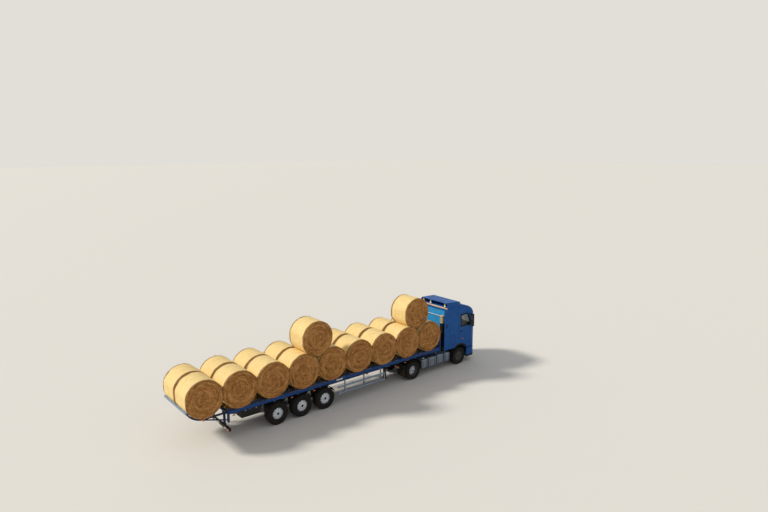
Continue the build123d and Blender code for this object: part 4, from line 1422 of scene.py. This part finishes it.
    def lid(self, shop: Workshop) -> None:
        """Dress the toolbox lid with its pressed ribs and two catches."""
        shape = shop.copy("toolbox_lid", "plastic", 4)
        low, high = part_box("toolbox_lid")
        for i in range(5):
            x = low.x + 0.10 + (high.x - low.x - 0.20) * i / 4
            shape.block((x - 0.03, low.y - 0.004, low.z + 0.05), (x + 0.03, low.y + 0.003, high.z - 0.05),
                        "plastic", 0.003)
        for x in (low.x + 0.2, high.x - 0.2):
            shape.block((x - 0.035, low.y - 0.014, high.z - 0.075),
                        (x + 0.035, low.y + 0.002, high.z - 0.03), "steel")
        shop.look("toolbox_lid", shape, "toolbox_lid", even=False)

    def lamps(self, shop: Workshop) -> None:
        """Build the rear lamp clusters, the blank plate and its two small lamps."""
        shape = Shape()
        shape.pair((-7.076, 0.80, 0.452), (-7.058, 1.22, 0.548), "plastic", 0.006)
        for start, end, finish in ((0.81, 0.95, "white_lens"), (0.955, 1.085, "red_lens"),
                                   (1.09, 1.21, "amber_lens")):
            shape.pair((-7.085, start, 0.460), (-7.068, end, 0.540), finish, 0.006, 3)
        shape.block((-7.066, -0.26, 0.445), (-7.0585, 0.26, 0.555), "plate", 0.002)
        shape.pair((-7.075, 0.28, 0.51), (-7.058, 0.32, 0.55), "plastic", 0.004)
        shop.piece("rear_lamp_clusters", shape, "trailer", ["rear_lamps"])

    def gear(self, shop: Workshop) -> None:
        """Add the air bellows, brake chambers and hoses of the three axles."""
        shape = Shape()
        bellows = [(0.122, 0.01), (0.132, 0.06), (0.126, 0.105), (0.118, 0.125), (0.127, 0.145),
                   (0.134, 0.19), (0.127, 0.235), (0.118, 0.255), (0.122, 0.27), (0.122, 0.315), (0.09, 0.32),
                   (0.09, 0.01)]
        chamber = [(0.0, 0.0), (0.075, 0.0), (0.082, 0.012), (0.082, 0.05), (0.088, 0.06), (0.088, 0.072),
                   (0.082, 0.082), (0.080, 0.16), (0.06, 0.185), (0.0, 0.19)]
        hose = ((0.28, 0.36, 0.62), (0.36, 0.33, 0.74), (0.30, 0.38, 0.90), (0.32, 0.45, 1.0))
        for axle in TRAILER_AXLES:
            x = axle_x(f"trailer_{axle}")
            for sign in SIDES.values():
                shape.lathe(bellows, (x - 0.23, sign * 0.49, TRAILER_RADIUS - 0.030), "plastic", 32, "Z")
                shape.lathe(chamber, (x + 0.10, sign * 0.36, 0.60), "black_paint", 28, "X", closed=False)
                shape.hose([(x + along, sign * out, z) for along, out, z in hose], 0.010, "plastic")
        shop.piece("axle_gear", shape, "trailer")

    def build(self, shop: Workshop) -> None:
        """Build the whole trailer."""
        self.deck(shop)
        self.litter(shop)
        self.rails(shop)
        self.markers(shop)
        # The trailer frame takes the darker frame blue, as painted shade under the deck.
        shop.copies("trailer", (("trailer_frame", "shaded_frame_blue", 3), ("headboard", "rail_blue", 4),
                                ("trailer_axles", "black_paint", 4), ("trailer_mudguards", "plastic", 3),
                                ("toolbox", "plastic", 4)))
        self.rack(shop)
        self.guards(shop)
        self.legs(shop)
        self.lid(shop)
        self.lamps(shop)
        self.gear(shop)


# Tractor

@dataclass
class Tractor:
    """The tractor's frame, tanks, guards, bumper and lamps."""

    tank_spans: tuple = ((4.430, 4.935), (4.965, 5.575), (5.605, 6.185), (6.215, 6.670))
    tank_gap: float = 0.032
    tank_faces: tuple = (0.620, 1.225)
    tank_z: tuple = (0.400, 0.950)
    stack_top: float = 3.200
    hood_top: float = 3.040
    lip_top: float = 0.455
    plate_edges: tuple = (0.262, 0.628, 0.742)
    plate_rim: float = 0.010

    def frame(self, shop: Workshop) -> None:
        """Dress the frame, with its tread plates, the louvred air intake and the tail lamps."""
        shape = shop.copy("tractor_frame", "black_paint", 4)
        shape.paint("sand_plastic", lambda spot: spot.z > 2.61)
        for vert in shape.mesh.verts:
            if vert.co.z > self.hood_top:
                vert.co.z = self.hood_top - (self.stack_top - vert.co.z)
        for i in range(4):
            z = 2.68 + 0.078 * i
            shape.block((6.386, -0.82, z), (6.394, -0.68, z + 0.030), "plastic", 0.002)
        shape.block((6.383, -0.857, 1.081), (6.557, 0.857, 1.087), "tread_plate", 0.002)
        shape.block((4.86, -0.45, 1.021), (6.36, 0.45, 1.026), "tread_plate", 0.002)
        shape.pair((2.985, 0.62, 0.74), (3.005, 0.98, 0.86), "plastic", 0.006)
        shape.pair((2.975, 0.63, 0.75), (2.990, 0.80, 0.85), "red_lens", 0.006)
        shape.pair((2.975, 0.81, 0.75), (2.990, 0.97, 0.85), "amber_lens", 0.006)
        shape.pair((2.998, 0.42, 0.78), (3.040, 0.64, 0.82), "black_paint", 0.004)
        shop.look("tractor_frame", shape, "tractor")

    def flaps(self, shop: Workshop) -> None:
        """Hang the mud flaps behind the drive wheels, on a bar each."""
        shape = Shape()
        shape.pair((3.180, 0.430, 0.880), (3.215, 1.235, 0.915), "black_paint", 0.004)
        shape.pair((3.192, 0.590, 0.260), (3.204, 1.235, 0.885), "flap", 0.003)
        for i in range(5):
            y = 0.66 + 0.125 * i
            shape.pair((3.186, y - 0.012, 0.30), (3.194, y + 0.012, 0.82), "flap", 0.002)
        shop.piece("mud_flaps", shape, "tractor")

    def tank(self, rear: float, front: float, sign: float, edge: float, proud: float = 0.0) -> Form:
        """Make a tank's box, or a band's round it, with its two outer long edges well rounded.

        Args:
            rear: where it begins along the lorry.
            front: where it ends.
            sign: which side of the lorry it is on.
            edge: the radius of its two rounded edges.
            proud: how far it stands out of the tank.

        Returns:
            The form.
        """
        inner, outer = self.tank_faces
        low, high = self.tank_z
        form = box_form((front - rear, outer - inner + 2 * proud, high - low + 2 * proud),
                        ((rear + front) / 2, sign * (inner + outer) / 2, (low + high) / 2))
        long_edges = [e for e in form.edges if abs(e.verts[0].co.x - e.verts[1].co.x) > 0.03
                      and abs(e.verts[0].co.y) > 1.0]
        soften(form, long_edges, edge, 8)
        return form

    def tanks(self, shop: Workshop) -> None:
        """Round the tanks and lockers, with the bands, brackets and caps between and on them."""
        shape = Shape()
        low, high = self.tank_z
        cap = [(0.0, 0.0), (0.058, 0.0), (0.060, 0.012), (0.052, 0.040), (0.046, 0.046), (0.0, 0.046)]
        for sign in SIDES.values():
            for rear, front in self.tank_spans:
                form = self.tank(rear + self.tank_gap, front - self.tank_gap, sign, 0.090)
                ends = [e for e in form.edges
                        if e.calc_face_angle(0) > 1.2 and abs(e.verts[0].co.x - e.verts[1].co.x) < 0.001]
                soften(form, ends, 0.014, 3)
                shape.take(form, "aluminium")
                for share in (0.22, 0.78):
                    x = rear + (front - rear) * share
                    shape.take(self.tank(x - 0.019, x + 0.019, sign, 0.094, proud=0.004), "tank_band")
                for x in (rear, front):
                    shape.block((x - 0.018, sign * 0.430, low + 0.05),
                                (x + 0.018, sign * 1.170, high - 0.06), "black_paint")
            for x, finish in ((5.27, "plastic"), (4.72, "white_plastic"), (5.90, "plastic")):
                shape.lathe(cap, (x, sign * 1.03, high - 0.004), finish, 24, "Z", closed=False)
        shop.look("tanks", shape, "tractor", even=False)

    def bumper(self, shop: Workshop) -> None:
        """Dress the bumper with its steps, the blank plate, the air slots and a dark lower lip."""
        shape = shop.copy("bumper", "blue", 3)
        shape.cut((0, 0, self.lip_top), (0, 0, 1))
        shape.paint("plastic", lambda spot: spot.z < self.lip_top or (abs(spot.y) < 1.19 and spot.x < 8.60))
        side, low, high = self.plate_edges
        rim = self.plate_rim
        for y in (-side - rim, -side, side, side + rim):
            shape.cut((0, y, 0), (0, 1, 0))
        for z in (low - rim, low, high, high + rim):
            shape.cut((0, 0, z), (0, 0, 1))
        for finish, more in (("plastic", rim), ("plate", 0.0)):
            shape.paint(finish, lambda spot: (spot.x > 8.9 and abs(spot.y) < side + more
                                              and low - more < spot.z < high + more))
        slot = ((8.800, -0.700), (8.856, -0.700), (8.894, -0.300), (8.894, 0.300), (8.856, 0.700),
                (8.800, 0.700))
        for z in (0.470, 0.540):
            shape.sheet([(x, y, z) for x, y in slot], (0, 0, 0.040), "plastic")
        # A black splash panel in front of each steer wheel: a dark sheet that stands for the shade in the
        # arch.
        shape.pair((8.108, 0.640, 0.400), (8.114, 1.190, 0.850), "plastic", 0.001)
        for i in range(7):
            x = 8.14 + 0.055 * i
            for z in (0.402, 0.692):
                shape.pair((x, 0.88, z - 0.004), (x + 0.022, 1.17, z + 0.004), "plastic", 0.001)
        shop.look("bumper", shape, "tractor")

    def headlamps(self, shop: Workshop) -> None:
        """Set the lamp glasses in their dark housings, with two reflectors and an indicator behind each."""
        shop.copies("tractor", (("headlamps", "lamp_glass", 5),))
        shape = Shape()
        housing = ((8.790, 0.770), (8.775, 0.900), (8.735, 1.050), (8.690, 1.110), (8.665, 1.165),
                   (8.655, 1.120), (8.700, 1.000), (8.760, 0.770))
        bowl = [(0.0, -0.012), (0.030, -0.008), (0.055, 0.004), (0.070, 0.026), (0.073, 0.026),
                (0.058, -0.004), (0.0, -0.020)]
        bulb = [(0.0, 0.0), (0.012, 0.0), (0.016, 0.006), (0.010, 0.016), (0.0, 0.018)]
        for sign in SIDES.values():
            shape.sheet([(x, sign * y, 0.572) for x, y in housing], (0, 0, 0.176), "plastic")
            for x, y in ((8.800, 0.850), (8.768, 0.990)):
                shape.lathe(bowl, (x, sign * y, 0.66), "chrome", 32, "X", closed=False)
                shape.lathe(bulb, (x, sign * y, 0.66), "white_lens", 16, "X", closed=False)
        shape.pair((8.700, 1.075, 0.585), (8.722, 1.130, 0.735), "amber_lens", 0.006)
        shop.piece("headlamp_insides", shape, "tractor")

    def build(self, shop: Workshop) -> None:
        """Build the whole tractor."""
        shop.copies("tractor", (("fifth_wheel", "iron", 4), ("engine", "iron", 12),
                                ("tractor_axles", "iron", 4)))
        for side in SIDES:
            shop.copies(f"knuckle_{side}", ((f"knuckle_{side}", "iron", 3),))
        shop.copies("tractor", (("tractor_mudguards", "plastic", 3),))
        self.frame(shop)
        self.flaps(shop)
        self.tanks(shop)
        self.bumper(shop)
        self.headlamps(shop)


# Cab

@dataclass
class Cab:
    """The tilting cab with its doors, mirrors, glass and what is inside."""

    half: float = 1.250
    shoulder: float = 2.300
    lean: float = 0.0238
    screen_foot: tuple = (8.863, 2.080)
    screen_lean: float = 0.2798
    window: tuple = ((7.560, 2.310), (8.290, 2.300), (8.290, 2.560), (8.120, 2.970), (7.560, 2.970))
    hatch: tuple = ((6.760, 1.340), (7.080, 1.340), (7.080, 1.860), (6.760, 1.860))
    vent: tuple = ((6.330, 2.400), (6.410, 2.400), (6.410, 2.640), (6.330, 2.640))
    arch_x: float = 7.470
    arch_z: float = 0.507
    slats: int = 7
    slat_pitch: float = 0.110
    strip: tuple = (2.052, 2.127)
    seam: tuple = (1.004, 1.012)

    def side_y(self, z: float) -> float:
        """Say how far out the cab's side stands at a height."""
        return self.half - self.lean * max(0.0, z - self.shoulder)

    def screen_spot(self, proud: float, y: float, z: float) -> Vector:
        """Give the spot that stands so far in front of the windscreen at a height."""
        foot_x, foot_z = self.screen_foot
        return Vector((foot_x - self.screen_lean * (z - foot_z) + proud, y, z))

    def sides(self, shop: Workshop) -> None:
        """Dress the sides with dark arch flares, locker hatches with their catches, and vents."""
        shape = shop.copy("cab_sides", "blue", 3)
        flare_out = self.half + 0.0006
        shape.paint("plastic", lambda spot: abs(spot.y) > flare_out and spot.z < 1.4)
        flare = ((0.704, 1.200), (0.704, 1.262), (0.720, 1.266), (0.775, 1.256), (0.778, 1.245),
                 (0.720, 1.200))
        for sign in SIDES.values():
            shape.arc([(r, sign * y) for r, y in flare], (self.arch_x, 0, self.arch_z), (39, 121), "plastic")
            shape.ring(self.hatch, 0.005, 0.005, lambda p: Vector((p.x, sign * (self.half - 0.001), p.y)),
                       (0, sign * 0.003, 0), "band")
            shape.sheet([(x, sign * 1.244, z) for x, z in self.vent], (0, sign * 0.006, 0), "band")
        shape.pair((6.895, 1.249, 1.800), (6.945, 1.257, 1.825), "plastic", 0.003)
        shop.look("cab_sides", shape, "cab")

    def front(self, shop: Workshop) -> None:
        """Dress the front with its grille bars, the seams at its corners, the dark strip and the wipers."""
        shape = shop.copy("cab_front", "blue", 3)
        for i in range(self.slats):
            z = 1.180 + self.slat_pitch * i
            shape.block((8.815, -0.715, z + 0.002), (8.828, 0.715, z + 0.060), "plastic", 0.001)
            for k in range(24):
                y = -0.69 + 0.06 * k
                shape.block((8.826, y - 0.003, z + 0.003), (8.838, y + 0.003, z + 0.059), "plastic", 0.0)
        low, high = self.strip
        inner, outer = self.seam
        for z in self.strip:
            shape.cut((0, 0, z), (0, 0, 1))
        shape.paint("band", lambda spot: spot.x > 8.5 and low < spot.z < high)
        for y in (-outer, -inner, inner, outer):
            shape.cut((0, y, 0), (0, 1, 0))
        shape.paint("band", lambda spot: spot.x > 8.7 and inner < abs(spot.y) < outer and spot.z < low)
        for y in (-0.62, 0.10):
            foot = self.screen_spot(0.010, y, 2.150)
            tip = self.screen_spot(0.018, y + 0.42, 2.200)
            shape.rod(foot - Vector((0.03, 0, 0)), foot + Vector((0.012, 0, 0)), 0.018, "plastic", 16, 0.003)
            shape.bar(foot, tip, (0.014, 0.010), "plastic", 0.002)
            shape.bar(self.screen_spot(0.010, y + 0.06, 2.175), self.screen_spot(0.010, y + 0.70, 2.225),
                      (0.012, 0.022), "plastic", 0.002)
        shop.look("cab_front", shape, "cab")

    def rear(self, shop: Workshop) -> None:
        """Add the sand-coloured strip and the struts under the deflector, the handrail and its feet."""
        shape = Shape()
        shape.block((6.572, -1.060, 3.425), (6.600, 1.060, 3.505), "sand_plastic", 0.008)
        for y in (-0.870, 0.290, 0.870):
            shape.bar((6.570, y, 3.500), (6.566, y, 3.745), (0.050, 0.040), "sand_plastic", 0.006)
            shape.block((6.548, y - 0.060, 3.540), (6.580, y + 0.060, 3.640), "white_plastic", 0.012, 3)
        shape.rod((6.550, -0.68, 2.950), (6.550, 0.78, 2.950), 0.016, "white_plastic", 12)
        for y in (-0.66, 0.05, 0.76):
            shape.rod((6.550, y, 2.950), (6.592, y, 2.950), 0.012, "white_plastic", 10)
        shop.piece("cab_rear_fittings", shape, "cab")

    def door(self, shop: Workshop, side: str, sign: float) -> None:
        """Dress one door with its window frame, handle and marker lamp, and its pane of glass."""
        name = f"door_{side}"
        shape = shop.copy(name, "blue", 4)
        for inner, outer, back, thick in ((0.030, 0.042, 0.001, 0.006), (0.012, -0.004, 0.055, 0.050)):
            shape.ring(self.window, inner, outer,
                       lambda p: Vector((p.x, sign * (self.side_y(p.y) - back), p.y)),
                       (0, sign * thick, 0), "band")
        shape.block((7.500, sign * 1.249, 1.960), (7.680, sign * 1.254, 2.040), "band", 0.002)
        shape.block((7.510, sign * 1.252, 1.985), (7.670, sign * 1.266, 2.015), "plastic", 0.006, 3)
        shape.block((7.600, sign * 1.249, 1.500), (7.770, sign * 1.258, 1.570), "marker_lens", 0.006)
        shop.look(name, shape, name)
        self.mirror(shop, side, sign)
        pane = f"door_glass_{side}"
        shop.look(pane, shop.copy(pane, "glass"), name, 35.0, even=False)

    def mirror(self, shop: Workshop, side: str, sign: float) -> None:
        """Dress one mirror: the dark housing, two glasses that face back and a pale inner side."""
        shape = shop.copy(f"mirror_{side}", "plastic")
        for low, high in ((2.255, 2.440), (2.475, 2.905)):
            shape.block((8.224, sign * 1.378, low), (8.236, sign * 1.492, high), "mirror", 0.004)
        shape.block((8.262, sign * 1.337, 2.30), (8.350, sign * 1.343, 2.88), "pale_bar", 0.002)
        shape.block((8.226, sign * 1.372, 2.450), (8.240, sign * 1.498, 2.466), "band", 0.002)
        shop.look(f"mirror_{side}", shape, f"door_{side}", 40.0, even=False)

    def screen(self, shop: Workshop) -> None:
        """Dress the windscreen with a black printed edge round the clear glass."""
        shape = shop.copy("windscreen", "glass")
        low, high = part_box("windscreen")
        foot, head, side = low.z + 0.09, high.z - 0.07, high.y - 0.07
        for z in (foot, head):
            shape.cut((0, 0, z), (0, 0, 1))
        for y in (-side, side):
            shape.cut((0, y, 0), (0, 1, 0))
        shape.paint("band", lambda spot: not (foot < spot.z < head and abs(spot.y) < side))
        shop.look("windscreen", shape, "cab", 35.0, even=False)

    def seats(self, shop: Workshop) -> None:
        shape = shop.copy("seats", "cloth", 30)
        for y in (-0.620, 0.620):
            shape.block((7.045, y - 0.140, 2.470), (7.135, y + 0.140, 2.660), "cloth", 0.035, 4)
            for post in (y - 0.05, y + 0.05):
                shape.rod((7.090, post, 2.420), (7.090, post, 2.480), 0.007, "chrome", 8)
        made = shop.piece("seats_look", shape, "cab", ["seats"], 50.0)

    def build(self, shop: Workshop) -> None:
        """Build the whole cab."""
        shop.copies("cab", (("cab_roof", "blue", 3),))
        # The rear wall's face takes the lighter blue as painted sunlight, and its side edges keep the cab
        # blue.
        wall = shop.copy("cab_rear_wall", "sunlit_wall_blue", 3)
        wall.paint("blue", lambda spot: abs(spot.y) > 1.19)
        shop.look("cab_rear_wall", wall, "cab")
        shop.copies("cab", (("air_deflectors", "blue", 4), ("cab_floor", "trim", 0), ("dashboard", "trim", 3),
                            ("sun_visor", "smoked", 3)))
        self.sides(shop)
        self.front(shop)
        self.rear(shop)
        for side, sign in SIDES.items():
            self.door(shop, side, sign)
        self.screen(shop)
        self.seats(shop)


# Studio

@dataclass
class Studio:
    """The pale floor, the soft lamps and the camera."""

    camera_place: Vector = field(default_factory=lambda: Vector((-17.34, -24.07, 12.65)))
    turn_deg: float = 50.15
    down_deg: float = 10.46
    roll_deg: float = 0.10
    focal_px: float = 596.9
    picture_px: float = 768.0
    backdrop: str = "e2dfd8"
    fill: float = 0.5

    def floor(self) -> None:
        """Lay a wide pale floor."""
        mesh = bmesh.new()
        bmesh.ops.create_grid(mesh, x_segments=1, y_segments=1, size=400)
        data = bpy.data.meshes.new("floor")
        mesh.to_mesh(data)
        mesh.free()
        material, _, shader = blank("pale_floor")
        shader.inputs["Base Color"].default_value = linear("e6e3dc")
        shader.inputs["Roughness"].default_value = 0.9
        data.materials.append(material)
        made = bpy.data.objects.new("floor", data)
        made.location.z = -0.001
        bpy.context.scene.collection.objects.link(made)
        made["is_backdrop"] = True

    def lamps(self) -> None:
        """Hang a large key lamp behind on the left, and let the world fill the rest."""
        scene = bpy.context.scene
        world = bpy.data.worlds.new("studio")
        scene.world = world
        world.use_nodes = True
        tree = world.node_tree
        fill = tree.nodes["Background"]
        fill.inputs["Color"].default_value = linear("eef0f4")
        fill.inputs["Strength"].default_value = self.fill
        pale = add(tree, "ShaderNodeBackground", {"in:Color": linear(self.backdrop), "in:Strength": 1.0})
        seen = add(tree, "ShaderNodeLightPath")
        direct = add(tree, "ShaderNodeMath", {"operation": "MAXIMUM"},
                     {0: seen.outputs["Is Camera Ray"], 1: seen.outputs["Is Glossy Ray"]}).outputs[0]
        shown = add(tree, "ShaderNodeMath", {"operation": "MAXIMUM"},
                    {0: direct, 1: seen.outputs["Is Transmission Ray"]}).outputs[0]
        both = add(tree, "ShaderNodeMixShader", {}, {0: shown, 1: fill.outputs[0], 2: pale.outputs[0]})
        tree.links.new(both.outputs[0], tree.nodes["World Output"].inputs["Surface"])
        key = bpy.data.lights.new("key", "SUN")
        key.energy = 2.7
        key.angle = math.radians(9)
        key.color = (1.0, 0.96, 0.88)
        made = bpy.data.objects.new("key", key)
        made.rotation_euler = Vector((0.75, -0.62, -0.75)).to_track_quat("-Z", "Y").to_euler()
        scene.collection.objects.link(made)

    def camera(self) -> None:
        """Place the camera where the photograph was taken from."""
        data = bpy.data.cameras.new("camera")
        data.sensor_width = 36
        data.lens = self.focal_px / self.picture_px * data.sensor_width
        data.clip_end = 2000
        made = bpy.data.objects.new("camera", data)
        turn = math.radians(self.turn_deg)
        down = math.radians(self.down_deg)
        aim = Vector((math.cos(turn) * math.cos(down), math.sin(turn) * math.cos(down), -math.sin(down)))
        made.rotation_mode = "QUATERNION"
        roll = Matrix.Rotation(math.radians(-self.roll_deg), 3, "Z").to_quaternion()
        made.rotation_quaternion = aim.to_track_quat("-Z", "Y") @ roll
        made.location = self.camera_place
        bpy.context.scene.collection.objects.link(made)
        bpy.context.scene.camera = made

    def build(self) -> None:
        """Build the whole studio."""
        self.floor()
        self.lamps()
        self.camera()
        bpy.context.scene.view_settings.view_transform = "Standard"


def main() -> None:
    """Build the lorry's looks in order."""
    logging.basicConfig(level=logging.INFO, format="%(name)s %(message)s")
    for old in list(bpy.data.objects):
        bpy.data.objects.remove(old)
    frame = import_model()
    Studio().build()
    shop = Workshop(frame)
    Load().build(shop)
    for wheel in wheels():
        wheel.build(shop)
    Trailer().build(shop)
    Tractor().build(shop)
    Cab().build(shop)
    LOG.info("%d pieces", shop.count)


if __name__ == "__main__":
    main()
